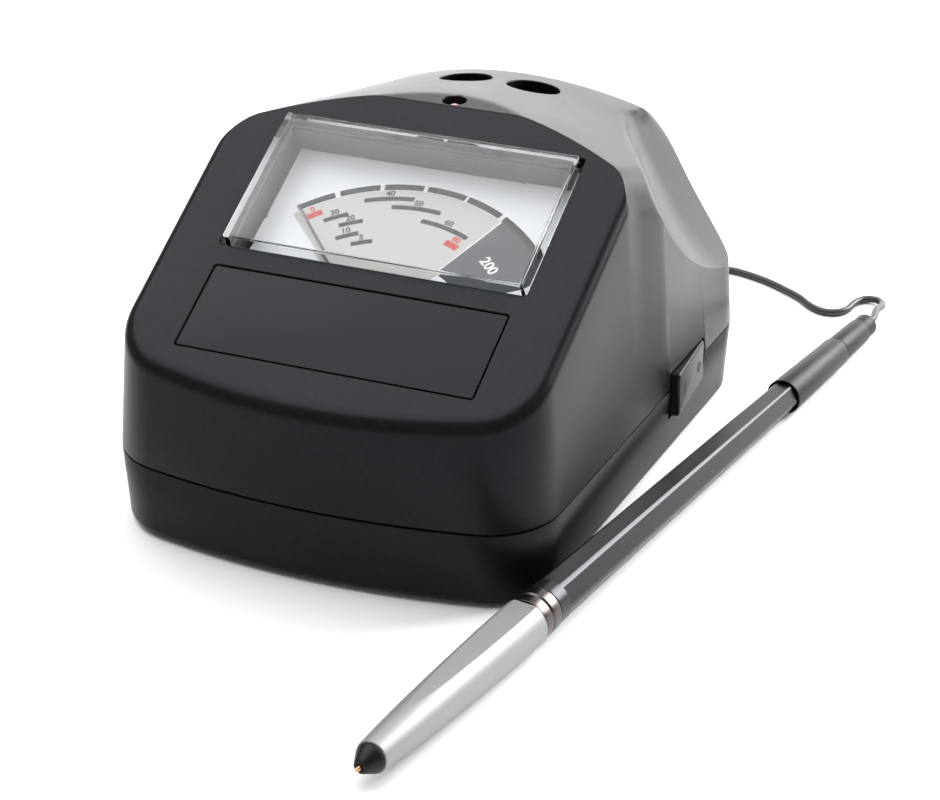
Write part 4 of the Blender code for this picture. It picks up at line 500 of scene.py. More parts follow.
# inks of the dial: name, dark tone, light tone, specular
inks = {
    "dialCream": ("dialCream", (0.60, 0.595, 0.56), (0.615, 0.61, 0.575), 0.2),
    "dialGrey": ("dialGreyInk", (0.030, 0.031, 0.035), (0.036, 0.037, 0.041), 0.1),
    "dialWedge": ("dialWedgeInk", (0.085, 0.092, 0.102), (0.095, 0.102, 0.113), 0.1),
    "dialRed": ("dialRedInk", (0.62, 0.06, 0.055), (0.70, 0.085, 0.07), 0.1),
}
inkLook = {"rough": 0.6, "scale": 3000.0, "depth": 0.000001}
# name, colour, roughness, and what differs from a plain turned metal
metals = {
    "chrome": (
        "polishedChrome", (0.29, 0.29, 0.295), 0.50,
        {"spread": 0.05, "scale": 1500.0, "depth": 0.0000015, "marks": 0.10, "metallic": 0.60}),
    "darkChrome": ("darkChrome", (0.10, 0.088, 0.084), 0.30, {"spread": 0.05, "scale": 2200.0}),
    "copper": ("copper", (0.74, 0.36, 0.20), 0.28, {"scale": 3200.0}),
    "brass": ("brass", (0.70, 0.52, 0.26), 0.30, {}),
    "nickel": ("nickelPlate", (0.60, 0.57, 0.52), 0.25, {}),
    "steel": ("zincPlate", (0.50, 0.50, 0.52), 0.32, {"spread": 0.10}),
    "magnet": ("magnetSteel", (0.30, 0.30, 0.32), 0.42, {"spread": 0.12}),
    "metalDisc": ("groundMetal", (0.62, 0.62, 0.63), 0.28, {"spread": 0.10, "scale": 1800.0}),
}

finishes = {"clear": clearPlastic("clearCover"), "lamp": lampPlasticWithPaintedSheen("lampLens")}
for key, (*row, more) in plastics.items():
    finishes[key] = mouldedPlastic(*row, **more)
for key, (*row, specular) in inks.items():
    finishes[key] = mouldedPlastic(*row, specular=specular, **inkLook)
for key, (*row, more) in metals.items():
    finishes[key] = turnedMetal(*row, **more)
print("materials made")

# Mesh helpers


def meshFrom(name, build):
    mesh = bpy.data.meshes.new(name)
    bm = bmesh.new()
    build(bm)
    bmesh.ops.recalc_face_normals(bm, faces=bm.faces)
    bm.to_mesh(mesh)
    bm.free()
    return mesh


def loftRings(bm, rings, capEnd=True, closed=False):
    rows = [[bm.verts.new(point) for point in ring] for ring in rings]
    for lower, upper in zip(rows, rows[1:] + rows[:1] if closed else rows[1:]):
        for i in range(len(lower)):
            j = (i + 1) % len(lower)
            bm.faces.new((lower[i], lower[j], upper[j], upper[i]))
    if not closed:
        bm.faces.new(list(reversed(rows[0])))
        if capEnd:
            bm.faces.new(rows[-1])


def loftMesh(name, rings):
    return meshFrom(name, lambda bm: loftRings(bm, rings))


def prism(name, points, low, high):
    return loftMesh(name, [[(x, y, height) for x, y in points] for height in (low, high)])


# shorter than this is no length
tiny = 1e-7
# corners flatter than this stay as they are, and a rounding takes this much of a side at most
nearlyStraight = math.radians(88)
sideShare = 0.45
# where the middle ring of a small edge lies between its ends
edgeShare = 0.3


def rounded(profile, radius, steps=4, closed=False):
    # a profile with its corners rounded, by radius or by one radius for each point
    points = [Vector(point) for point in profile]
    count = len(points)
    radii = radius if isinstance(radius, (list, tuple)) else [radius] * count
    result = []
    for i, point in enumerate(points):
        back = points[i - 1] - point
        ahead = points[(i + 1) % count] - point
        kept = radii[i] <= 0 or not closed and i in (0, count - 1)
        if kept or min(back.length, ahead.length) < tiny or back.angle(ahead) / 2 > nearlyStraight:
            result.append(tuple(point))
            continue
        shorter = min(back.length, ahead.length)
        reach = min(radii[i] / math.tan(back.angle(ahead) / 2), shorter * sideShare)
        start = point + back.normalized() * reach
        end = point + ahead.normalized() * reach
        for step in range(steps + 1):
            t = step / steps
            result.append(tuple(start.lerp(point, t).lerp(point.lerp(end, t), t)))
    return result


def revolve(name, profile, segments=72, closed=False):
    # (radius, height) points turned round Z; points on the axis become one vertex
    def build(bm):
        rows = []
        for radius, height in profile:
            if radius < tiny:
                rows.append([bm.verts.new((0, 0, height))])
            else:
                ring = circlePoints(0, 0, radius, segments)
                rows.append([bm.verts.new((*point, height)) for point in ring])
        pairs = list(zip(rows, rows[1:]))
        if closed:
            pairs.append((rows[-1], rows[0]))
        for lower, upper in pairs:
            for i in range(segments):
                j = (i + 1) % segments
                if len(lower) == 1 and len(upper) > 1:
                    bm.faces.new((lower[0], upper[j], upper[i]))
                elif len(upper) == 1 and len(lower) > 1:
                    bm.faces.new((lower[i], lower[j], upper[0]))
                elif len(lower) > 1:
                    bm.faces.new((lower[i], lower[j], upper[j], upper[i]))

    return meshFrom(name, build)


def circlePoints(x, y, radius, count=64):
    turns = [math.tau * i / count for i in range(count)]
    return [(x + radius * math.cos(turn), y + radius * math.sin(turn)) for turn in turns]


def roundedRect(halfWidth, low, high, radius, grow=0.0, steps=6, sharpest=0.00002):
    # plan outline of a box with rounded corners, anticlockwise
    halfWidth += grow
    low -= grow
    high += grow
    radius = max(sharpest, radius + grow)
    side = halfWidth - radius
    bottom, top = low + radius, high - radius
    points = []
    for cx, cy, start in ((side, bottom, -90), (side, top, 0), (-side, top, 90), (-side, bottom, 180)):
        for i in range(steps + 1):
            turn = math.radians(start + 90 * i / steps)
            points.append((cx + radius * math.cos(turn), cy + radius * math.sin(turn)))
    return points


def layered(outlineAt, levels):
    # rings for loftRings from (grow, height) levels
    return [[(x, y, height) for x, y in outlineAt(grow)] for grow, height in levels]


def quarter(radius, steps, fromSide=True):
    # (inset, drop) pairs of a quarter round, from the side to the top
    pairs = []
    for i in range(steps + 1):
        turn = math.pi / 2 * i / steps
        pairs.append((radius * (1 - math.cos(turn)), radius * (1 - math.sin(turn))))
    return pairs if fromSide else pairs[::-1]


def looseObject(name, mesh, matrix=None):
    piece = bpy.data.objects.new(name, mesh)
    scene.collection.objects.link(piece)
    if matrix is not None:
        piece.matrix_world = matrix
    return piece


def evaluatedMesh(piece):
    bpy.context.view_layer.update()
    graph = bpy.context.evaluated_depsgraph_get()
    return bpy.data.meshes.new_from_object(piece.evaluated_get(graph))


def cutWith(piece, cutters):
    # one exact boolean for all the cutters, applied
    holder = bpy.data.collections.new(piece.name + "Cutters")
    scene.collection.children.link(holder)
    for cutter in cutters:
        scene.collection.objects.unlink(cutter)
        holder.objects.link(cutter)
    change = piece.modifiers.new("cut", "BOOLEAN")
    change.operation = "DIFFERENCE"
    change.solver = "EXACT"
    change.operand_type = "COLLECTION"
    change.collection = holder
    mesh = evaluatedMesh(piece)
    mesh.name = piece.data.name
    piece.modifiers.clear()
    piece.data = mesh
    for cutter in cutters:
        bpy.data.objects.remove(cutter, do_unlink=True)
    bpy.data.collections.remove(holder)


def bevelled(piece, width, segments, angle):
    edge = piece.modifiers.new("edges", "BEVEL")
    edge.width = width
    edge.segments = segments
    edge.limit_method = "ANGLE"
    edge.angle_limit = math.radians(angle)


def finishPiece(piece, finish, body, slotName, replaced=(), sharp=32):
    mesh = piece.data
    mesh.materials.clear()
    mesh.materials.append(finishes[finish])
    mesh.shade_smooth()
    mesh.set_sharp_from_angle(angle=math.radians(sharp))
    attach(piece, body)
    if replaced:
        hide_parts(*replaced)


def makePiece(name, mesh, matrix, *look):
    finishPiece(looseObject(name, mesh, matrix), *look)


# Cord: one run from the case's gland, round the stored coil, to the probe's end cap

cordSetup = {
    "radius": 0.0009,
    "rest": 0.00095,
    "coilCentre": (0.0140, 0.1680),
    "coilRadius": 0.0128,
    "coilStep": 0.0023,
    "turnsPerLayer": 3,
    "layers": 4,
    "pointsPerTurn": 30,
    "glandLength": 0.0100,
    "capEnd": 0.2290,
    "lead": 0.0036,
    "spacing": 0.0018,
    "roundness": 5,
    "toCoil": ((0.0252, 0.1547, 0.0062), (0.0258, 0.1572, 0.0036), (0.0263, 0.1597, 0.0016)),
    "fromCoil": (
        (0.0264, 0.1730, 0.0076), (0.0269, 0.1762, 0.0056), (0.0278, 0.1797, 0.0028),
        (0.0296, 0.1830, 0.0012), (0.0325, 0.1853, 0.00095), (0.0364, 0.1860, 0.00095),
        (0.0415, 0.1847, 0.00095), (0.0470, 0.1825, 0.00095), (0.0522, 0.1795, 0.00095)),
    "toProbe": (
        (-0.0215, 0.0144, 0.00095), (-0.0179, 0.0109, 0.00095), (-0.0143, 0.0088, 0.00095),
        (-0.0106, 0.0092, 0.00095), (-0.0083, 0.0122, 0.00095), (-0.0078, 0.0159, 0.00095),
        (-0.0065, 0.0192, 0.00095), (-0.0037, 0.0204, 0.0011), (-0.0010, 0.0184, 0.0015),
        (0.0, 0.0146, 0.0023), (-0.0002, 0.0098, 0.0033)),
}


def smoothRoute(points, spacing, steps=16):
    points = [Vector(point) for point in points]
    ends = [points[0] * 2 - points[1]] + points + [points[-1] * 2 - points[-2]]
    dense = []
    for a, b, c, d in zip(ends, ends[1:], ends[2:], ends[3:]):
        for i in range(steps):
            t = i / steps
            dense.append(
                b + (c - a) * (t / 2) + (a * 2 - b * 5 + c * 4 - d) * (t * t / 2)
                + (b * 3 - a - c * 3 + d) * (t ** 3 / 2))
    dense.append(points[-1])
    lengths = [0.0]
    for here, there in zip(dense, dense[1:]):
        lengths.append(lengths[-1] + (there - here).length)
    wanted = np.linspace(0, lengths[-1], max(2, round(lengths[-1] / spacing)) + 1)
    columns = [np.interp(wanted, lengths, [point[axis] for point in dense]) for axis in range(3)]
    return [Vector(point) for point in zip(*columns)]


def coilPoints():
    setup = cordSetup
    points = []
    perLayer = setup["turnsPerLayer"]
    layers = setup["layers"]
    for i in range(perLayer * layers * setup["pointsPerTurn"] + 1):
        turn = i / setup["pointsPerTurn"]
        layer, along = divmod(turn, perLayer)
        swept = along if layer % 2 == 0 else perLayer - along
        radius = setup["coilRadius"] - setup["coilStep"] * swept
        nearest = round(turn / perLayer)
        height = min(layer, layers - 1)
        if 0 < nearest < layers:
            height = nearest - 0.5 + min(0.5, max(-0.5, 2 * (turn - nearest * perLayer)))
        angle = math.tau * turn
        points.append(Vector((
            setup["coilCentre"][0] + radius * math.cos(angle),
            setup["coilCentre"][1] + radius * math.sin(angle),
            setup["rest"] + setup["coilStep"] * height)))
    return points


def cordLead(axes, end, leads):
    # points straight out of the gland or the cap
    ahead = end + axesSetup["gap"]
    return [caseFrame.inverted() @ axes @ Vector((0, 0, ahead + lead)) for lead in leads]


def makeCord():
    setup = cordSetup
    lead = setup["lead"]
    out = cordLead(glandFrame, setup["glandLength"], (0, lead))
    cap = cordLead(probeFrame, setup["capEnd"], (lead, 0))
    coil = coilPoints()
    ahead = Vector((0, 2 * setup["radius"] + axesSetup["gap"] + lead, 0))
    end = Vector((cap[1].x, cap[1].y, 0))
    first = smoothRoute([*out, *setup["toCoil"], coil[0] - ahead, coil[0]], setup["spacing"])
    near = [end + Vector(point) for point in setup["toProbe"]]
    last = smoothRoute([coil[-1], coil[-1] + ahead, *setup["fromCoil"], *near, *cap], setup["spacing"])
    points = first[:-1] + coil + last[1:]
    curve = bpy.data.curves.new("probeCord", "CURVE")
    curve.dimensions = "3D"
    curve.bevel_depth = setup["radius"]
    curve.bevel_resolution = setup["roundness"]
    curve.use_fill_caps = True
    line = curve.splines.new("POLY")
    line.points.add(len(points) - 1)
    for slot, point in zip(line.points, points):
        slot.co = (*point, 1)
    line.use_smooth = True
    curve.materials.append(finishes["cord"])
    cord = looseObject("probeCord", curve, caseFrame)
    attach(cord, "case")
    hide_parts("cord_to_coil", "cord_coil", "cord_to_probe")


makeCord()

# Case: outline and roof


def cornerCentre(radius, bowRadius, bowY, end):
    spread = caseForm["sideSpread"]
    start = caseForm["frontHalfWidth"] - radius * math.hypot(1, spread)
    a = 1 + spread ** 2
    b = 2 * (start * spread - bowY)
    c = start ** 2 + bowY ** 2 - (bowRadius - radius) ** 2
    y = (-b + end * math.sqrt(b * b - 4 * a * c)) / (2 * a)
    return Vector((start + spread * y, y))


outlineSetup = {
    # steps round the front bow, front corner, rear corner and rear bow
    "fine": (30, 22, 26, 34),
    "coarse": (8, 6, 7, 8),
    "fineSpacing": 0.0011,
    "coarseSpacing": 0.004,
    "sideRange": (0.012, 0.130),
    "clear": 0.0003,
    "creaseSteps": (-0.0008, -0.0005, -0.00025, 0.0, 0.00025, 0.0005, 0.0008),
    "creaseClear": 0.0011,
}


def outlineRows(detail, spacing):
    # points and outward normals all the way round, from the front centre, anticlockwise
    form = caseForm
    steps = outlineSetup[detail]
    clear = outlineSetup["clear"]
    frontBow = Vector((0, form["frontBow"]))
    rearBow = Vector((0, form["depth"] - form["rearBow"]))
    frontCorner = cornerCentre(form["frontCorner"], form["frontBow"], frontBow.y, -1)
    rearCorner = cornerCentre(form["rearCorner"], form["rearBow"], rearBow.y, 1)
    frontTurn = math.atan2(*reversed(frontCorner - frontBow))
    rearTurn = math.atan2(*reversed(rearCorner - rearBow))
    sideTurn = math.atan2(-form["sideSpread"], 1)
    sideNormal = Vector((math.cos(sideTurn), math.sin(sideTurn)))
    arcs = (
        (frontBow, form["frontBow"], -math.pi / 2, frontTurn, steps[0]),
        (frontCorner, form["frontCorner"], frontTurn, sideTurn, steps[1]),
        (rearCorner, form["rearCorner"], sideTurn, rearTurn, steps[2]),
        (rearBow, form["rearBow"], rearTurn, math.pi / 2, steps[3]),
    )
    rows = []
    for number, (centre, radius, start, end, count) in enumerate(arcs):
        if number == 2:
            sideStart = rows[-1][0]
            sideEnd = centre + sideNormal * radius
            for y in sideStations(outlineSetup[spacing]):
                if sideStart.y + clear < y < sideEnd.y - clear:
                    rows.append((Vector((sideX(y), y)), sideNormal))
        for i in range(0 if number in (0, 2) else 1, count + 1):
            turn = start + (end - start) * i / count
            normal = Vector((math.cos(turn), math.sin(turn)))
            rows.append((centre + normal * radius, normal))
    mirrored = [(Vector((-p.x, p.y)), Vector((-n.x, n.y))) for p, n in reversed(rows[1:-1])]
    return rows + mirrored


def sideStations(spacing):
    # even steps, closer where the panel meets the crest
    crease = caseForm["crestStart"]
    close = [crease + step for step in outlineSetup["creaseSteps"]]
    even = np.arange(*outlineSetup["sideRange"], spacing)
    return sorted([y for y in even if abs(y - crease) > outlineSetup["creaseClear"]] + close)


def softMin(a, b, width):
    if width <= 0 or abs(a - b) >= width:
        return min(a, b)
    return min(a, b) - (width - abs(a - b)) ** 2 / (4 * width)


def rounding(radius, inset):
    if inset >= radius:
        return 0.0
    return radius - math.sqrt(radius ** 2 - (radius - inset) ** 2)


def domeHeight(x, y, inset, grow=0.0):
    form = caseForm
    share = (y - form["crestStart"]) / (form["crownRearY"] - form["crestStart"])
    bend = (1 - share) / form["crownFront"] + share / form["crownRear"]
    crown = form["crestHeight"] - form["domeFall"] * (y - form["crestEnd"]) - bend * x * x / 2
    crown -= rounding(form["shoulder"], inset)
    tailTop = form["crestHeight"] - form["domeFall"] * (form["tailStart"] - form["crestEnd"])
    crown = softMin(crown, tailTop - form["tailFall"] * (y - form["tailStart"]), form["tailBlend"])
    out = abs(x) + grow - form["scoopApex"]
    reach = out / form["scoopSpread"]
    forward = max(0.0, form["scoopAxisY"] - y - grow)
    if reach > forward:
        scoop = form["scoopAxisHeight"] + form["scoopFall"] * (form["scoopAxisY"] - y)
        scoop += out ** 2 / (2 * form["scoopHollow"]) - math.sqrt(reach ** 2 - forward ** 2)
        crown = softMin(crown, scoop, form["scoopBlend"])
    return crown


def flatHeight(y, inset):
    form = caseForm
    panel = axesSetup["panelFrontHeight"] + axesSetup["panelRise"] * y - rounding(form["panelEdge"], inset)
    return softMin(panel, form["crestHeight"], form["crease"])


def roofHeight(x, y, inset, grow=0.0):
    return softMin(domeHeight(x, y, inset, grow), flatHeight(y, inset), caseForm["crease"])


def drawIn(x, y, grow=0.0):
    # how far the drafted wall has leaned in where it meets the roof
    sharp = min(domeHeight(x, y, caseForm["shoulder"], grow), flatHeight(y, caseForm["shoulder"]))
    return caseForm["draft"] * (sharp - axesSetup["baseHeight"])


def roofLine(point, normal, inset):
    # a function from distance to place, from the drafted wall's top in to the centre plane
    form = caseForm
    inset += drawIn(*(point - normal * inset), inset)
    turnIn = point - normal * (inset + form["shoulder"])
    spine = Vector((0, min(max(turnIn.y, form["spine"][0]), form["spine"][1])))
    total = form["shoulder"] + (spine - turnIn).length

    def at(distance):
        if distance <= form["shoulder"]:
            return point - normal * (inset + distance), distance
        share = (distance - form["shoulder"]) / (total - form["shoulder"])
        return turnIn.lerp(spine, share), form["shoulder"]

    return at, total


def creaseDistance(at, total, grow, steps=90, halvings=24):
    # how far in the dome meets the panel or crest: 0 in front, the whole line behind
    def over(distance):
        place, depth = at(distance)
        return domeHeight(place.x, place.y, depth, grow) >= flatHeight(place.y, depth)

    if over(0.0):
        return 0.0
    for i in range(1, steps + 1):
        high = total * i / steps
        if over(high):
            low = total * (i - 1) / steps
            for _ in range(halvings):
                middle = (low + high) / 2
                if over(middle):
                    high = middle
                else:
                    low = middle
            return high
    return total


roofSetup = {
    # rings over the dome, and over the panel and crest
    "fine": (60, 26),
    "coarse": (22, 8),
    "crowding": 1.9,
    "weld": 0.000008,
}


def roofSolid(name, detail, inset, drop, foot, levels):
    # a closed solid under the roof's surface, inset and dropped
    lines = []
    for point, normal in outlineRows(detail, detail + "Spacing"):
        at, total = roofLine(point, normal, inset)
        lines.append((at, total, creaseDistance(at, total, inset), point, normal))
    rings = []
    for into, height in levels:
        rings.append([(*(point - normal * (inset + into)), foot + height) for *_, point, normal in lines])
    domeRings, flatRings = roofSetup[detail]
    for k in range(domeRings + flatRings + 1):
        ring = []
        for at, total, crease, _, _ in lines:
            if k <= domeRings:
                distance = crease * (1 - math.cos(math.pi * k / domeRings)) / 2
            else:
                share = ((k - domeRings) / flatRings) ** roofSetup["crowding"]
                distance = crease + (total - crease) * share
            place, depth = at(distance)
            ring.append((place.x, place.y, roofHeight(place.x, place.y, depth, inset) - drop))
        rings.append(ring)

    def build(bm):
        loftRings(bm, rings, False)
        bmesh.ops.remove_doubles(bm, verts=bm.verts, dist=roofSetup["weld"])
        slack = [edge for edge in bm.edges if edge.is_boundary]
        if slack:
            bmesh.ops.contextual_create(bm, geom=slack)

    return meshFrom(name, build)


mouthSetup = {"flare": math.radians(78), "over": 0.1, "high": 0.004, "steps": 4, "curvedSteps": 5}


def mouthCutter(name, outlineAt, radius, low, matrix, high=mouthSetup["high"], surface=None):
    # a cutter whose mouth flares in a quarter round where it meets the surface at height 0
    steps = mouthSetup["curvedSteps" if surface else "steps"]
    levels = [(0.0, low)]
    for i in range(steps + 1):
        turn = mouthSetup["flare"] * i / steps
        levels.append((radius * (1 - math.cos(turn)), -radius * (1 - math.sin(turn))))
    levels.append((levels[-1][0] + radius * mouthSetup["over"], high))
    rings = layered(outlineAt, levels)
    if surface:
        rings[1:-1] = [[(x, y, surface(x, y) + height) for x, y, height in ring] for ring in rings[1:-1]]
    return looseObject(name, loftMesh(name, rings), matrix)


shellSetup = {
    # half width, low, high, corner, gap, edge, depth
    "window": (0.0348, 0.0287, 0.0661, 0.0007, 0.0008, 0.00025, 0.008),
    "label": (0.03375, 0.0, 0.0221, 0.0008, 0.0003, 0.00022, 0.0011),
    # place, radius, edge, depth, points round
    "lamp": (0.0834, 0.00275, 0.0003, 0.008, 48),
    "wellPlace": (0.0084, 0.1104),
    # radius, edge, low, high
    "well": (0.0062, 0.00035, 0.055, 0.085),
    # half length, half height, corner, edge, depth
    "rocker": (0.01075, 0.00595, 0.0009, 0.00025, 0.0062),
    "footEdge": 0.0003,
    # start below the base's top, and straight rise
    "hollowFoot": (0.004, 0.0062),
    "sharp": 52,
}


def rockerCutter(name):
    length, height, corner, edge, depth = shellSetup["rocker"]
    return mouthCutter(
        name, lambda grow: roundedRect(length, -height, height, corner, grow), edge, -depth,
        rockerFrame @ slotTurn)


def makeUpperShell():
    setup = shellSetup
    base, edge = axesSetup["baseHeight"], setup["footEdge"]
    mesh = roofSolid(
        "upperShell", "fine", 0.0, 0.0, base + axesSetup["seam"],
        ((edge, 0.0), (edge * edgeShare, edge * edgeShare), (0.0, edge)))
    shell = looseObject("upperShell", mesh, onCase())
    under, rise = setup["hollowFoot"]
    hollow = roofSolid(
        "upperHollow", "coarse", caseForm["wall"], caseForm["roof"], base - under, ((0.0, 0.0), (0.0, rise)))
    cutters = [looseObject("upperHollow", hollow, onCase())]
    for name in ("window", "label"):
        half, low, high, corner, gap, edge, depth = setup[name]
        cutters.append(mouthCutter(
            name + "Cut", lambda grow: roundedRect(half + gap, low - gap, high + gap, corner, grow),
            edge, -depth, panelFrame))
    y, radius, edge, depth, count = setup["lamp"]
    cutters.append(mouthCutter(
        "lampCut", lambda grow: circlePoints(0, 0, radius + grow, count), edge, -depth,
        onCase(0, y, caseForm["crestHeight"])))
    x, y = setup["wellPlace"]
    bore, edge, low, high = setup["well"]
    for word, place in (("Left", -x), ("Right", x)):
        cutters.append(mouthCutter(
            "wellCut" + word, lambda grow: circlePoints(place, y, bore + grow), edge, low, onCase(), high,
            lambda x, y: roofHeight(x, y, caseForm["shoulder"])))
    cutters.append(rockerCutter("upperRockerCut"))
    cutWith(shell, cutters)
    finishPiece(shell, "case", "case", "case", ("upper_shell",), setup["sharp"])
    print("upper shell made, faces:", len(shell.data.polygons))


makeUpperShell()

# Base

baseSetup = {
    "draft": 0.00095,
    "edge": 0.0015,
    "topEdge": 0.00025,
    "under": 0.012,
    # insets outside and inside, height
    "lip": (0.0025, 0.0037, 0.0022),
    "floor": 0.003,
    # name, points round, radius, (growth, height) levels, places
    "holes": (
        ("screwSink", 40, 0.0029, ((0.0003, -0.004), (0.0003, 0.0), (0.0, 0.0003), (0.0, 0.0029)),
         ((-0.0413, 0.027), (0.0413, 0.027), (-0.0470, 0.112), (0.0470, 0.112))),
        ("footRecess", 48, 0.0043, ((0.0, -0.004), (0.0, 0.0009)),
         ((-0.0300, 0.0140), (0.0300, 0.0140), (-0.0463, 0.096), (0.0463, 0.096))),
    ),
    "doorX": -0.0240,
    # name, half width, low, high, front, rear
    "door": (
        ("doorSlit", 0.0178, -0.004, 0.0013, 0.0774, 0.144),
        ("doorRails", 0.0189, 0.0010, 0.0025, 0.0774, 0.144),
        ("cellOpening", 0.0164, 0.0013, 0.007, 0.0797, 0.1262),
    ),
    # outline, low, high
    "housingRoom": ((0.01285, -0.00805, 0.012, 0.0002), -0.0107, -0.0022),
    "rearPoints": 40,
    # name, axes, radius
    "rear": (("socketHole", socketFrame, 0.0051), ("glandHole", glandFrame, 0.0029)),
    "rearEdge": 0.0002,
    "rearDepth": 0.0075,
    "sharp": 34,
}


def makeBaseShell():
    setup = baseSetup
    lipOut, lipIn, lipHeight = setup["lip"]
    draft, edge = setup["draft"], setup["topEdge"]
    top = axesSetup["baseHeight"] - axesSetup["seam"]
    levels = [(setup["under"], 0.0)]
    levels += [(draft + into, rise) for into, rise in quarter(setup["edge"], steps=8, fromSide=False)]
    levels += [
        (draft / 2, (setup["edge"] + top) / 2), (0.0, top - edge), (edge * edgeShare, top - edge * edgeShare),
        (edge, top), (lipOut, top), (lipOut, top + lipHeight), (lipIn, top + lipHeight),
        (lipIn, setup["floor"])]
    rows = outlineRows("fine", "coarseSpacing")
    rings = [[(*(point - normal * into), height) for point, normal in rows] for into, height in levels]
    shell = looseObject("baseShell", loftMesh("baseShell", rings), onCase())
    cutters = []
    for name, count, radius, levels, places in setup["holes"]:
        for number, (x, y) in enumerate(places, 1):
            rings = layered(lambda grow: circlePoints(x, y, radius + grow, count), levels)
            cutters.append(looseObject(f"{name}{number}", loftMesh(name, rings), onCase()))
    middle = setup["doorX"]
    for name, reach, low, high, front, rear in setup["door"]:
        left, right = middle - reach, middle + reach
        points = ((left, front), (right, front), (right, rear), (left, rear))
        cutters.append(looseObject(name, prism(name, points, low, high), onCase()))
    cutters.append(rockerCutter("baseRockerCut"))
    room, low, high = setup["housingRoom"]
    cutters.append(looseObject(
        "housingRoom", prism("room", roundedRect(*room), low, high), rockerFrame @ slotTurn))
    for name, axes, radius in setup["rear"]:
        cutters.append(mouthCutter(
            name, lambda grow: circlePoints(0, 0, radius + grow, setup["rearPoints"]), setup["rearEdge"],
            -setup["rearDepth"], axes))
    cutWith(shell, cutters)
    finishPiece(shell, "case", "case", "case", ("base_shell",), setup["sharp"])
    print("base shell made, faces:", len(shell.data.polygons))


makeBaseShell()

# Label plate, left bare

labelSetup = {"face": -0.0001, "thickness": 0.0007, "edge": 0.00018, "corner": 0.0006}


def makeLabel():
    setup = labelSetup
    half, low, high = shellSetup["label"][:3]
    levels = [(0.0, setup["face"] - setup["thickness"])]
    levels += [(-into, setup["face"] - drop) for into, drop in quarter(setup["edge"], steps=4)]
    rings = layered(lambda grow: roundedRect(half, low, high, setup["corner"], grow), levels)
    makePiece(
        "labelPlate", loftMesh("labelPlate", rings), panelFrame, "label", "case", "label", ("label_plate",))


makeLabel()

# Meter: cover and dial print

meterSetup = {
    "proud": 0.00175,
    "floor": -0.0028,
    "wall": 0.0011,
    "edge": 0.00035,
    "innerEdge": 0.0002,
    "footEdge": 0.0001,
    "lap": 0.012,
    "corner": 0.0008,
    "dialFace": -0.0105,
    "pivotV": 0.0196,
    "ink": 0.00003,
    "sharp": 40,
    "printSharp": 30,
}


def makeCover():
    # down inside from the ceiling, then up outside from the foot
    setup = meterSetup
    half, low, high = shellSetup["window"][:3]
    wall, floor, foot, proud = -setup["wall"], setup["floor"], setup["footEdge"], setup["proud"]
    ceiling = proud + wall
    levels = [(wall - setup["lap"], ceiling)]
    inner = quarter(setup["innerEdge"], steps=4, fromSide=False)
    levels += [(wall - into, ceiling - drop) for into, drop in inner]
    levels += [(wall, floor + foot), (wall + foot, floor), (-foot, floor), (0.0, floor + foot)]
    levels += [(-into, proud - drop) for into, drop in quarter(setup["edge"], steps=6)]
    levels.append((-setup["edge"] - setup["lap"], proud))
    rings = layered(lambda grow: roundedRect(half, low, high, setup["corner"], grow), levels)
    makePiece(
        "meterCover", loftMesh("meterCover", rings), panelFrame, "clear", "case", "clear_cover",
        ("meter_cover",), setup["sharp"])


def dialPoint(radius, turn, height):
    # a place on the dial, turned from straight up, right positive
    return radius * math.sin(turn), meterSetup["pivotV"] + radius * math.cos(turn), height


def dialPiece(name, build, finish):
    makePiece(
        name, meshFrom(name, build), panelFrame, finish, "case", "dial", (), meterSetup["printSharp"])


# piece, finish, height in layers of ink, half width, then each arc's radius, start and end in degrees
dialPrint = (
    ("dialFan", "dialCream", 0.0, 0.0151, ((0.0243, -46.0, 28.3),)),
    ("dialArcs", "dialGrey", 1.5, 0.0008, (
        (0.0404, -43.6, -31.1), (0.0404, -29.4, -16.5), (0.0404, -15.1, -2.2), (0.0404, -0.9, 12.5),
        (0.0404, 13.4, 26.8), (0.0404, 28.3, 43.3))),
    ("dialWedge", "dialWedge", 0.0, 0.0093, ((0.0303, 29.0, 58.0),)),
    ("dialWedgeRim", "dialGrey", 1.5, 0.0008, ((0.0404, 43.3, 58.0),)),
    ("dialBars", "dialGrey", 1.5, 0.0006, (
        (0.0370, -21.7, -4.0), (0.0345, -11.5, 7.8), (0.0313, 2.2, 24.6), (0.0338, -37.5, -27.8),
        (0.0310, -32.4, -22.3), (0.0275, -35.4, -24.6), (0.0246, -29.0, -17.7))),
    ("dialRedBars", "dialRed", 1.5, 0.0008, ((0.0366, -42.3, -36.8), (0.0279, 18.0, 25.2))),
)


def makeArcs(name, finish, layer, half, arcs):
    low = meterSetup["dialFace"] + meterSetup["ink"] * layer
    high = low + meterSetup["ink"]

    def build(bm):
        for radius, start, end in arcs:
            count = max(2, round(abs(end - start)))
            turns = [math.radians(start + (end - start) * i / count) for i in range(count + 1)]
            corners = (
                (radius - half, low), (radius + half, low), (radius + half, high), (radius - half, high))
            loftRings(bm, [[dialPoint(reach, turn, height) for reach, height in corners] for turn in turns])

    dialPiece(name, build, finish)


# piece, finish, size, then each number's text, angle in degrees and radius
dialNumbers = (
    ("dialNumbers", "dialGrey", 0.0021, (
        ("5", -23.3, 0.0261), ("10", -30.0, 0.0290), ("20", -27.3, 0.0325), ("30", -32.6, 0.0353),
        ("40", -12.8, 0.0385), ("50", -1.9, 0.0360), ("60", 13.4, 0.0328))),
    ("dialRedNumbers", "dialRed", 0.0021, (("0", -39.5, 0.0383), ("80", 21.6, 0.0296))),
    ("dialWedgeNumber", "dialWhite", 0.0034, (("200", 43.0, 0.0300),)),
)
numberSetup = {"layer": 2, "weight": 0.032, "resolution": 3}


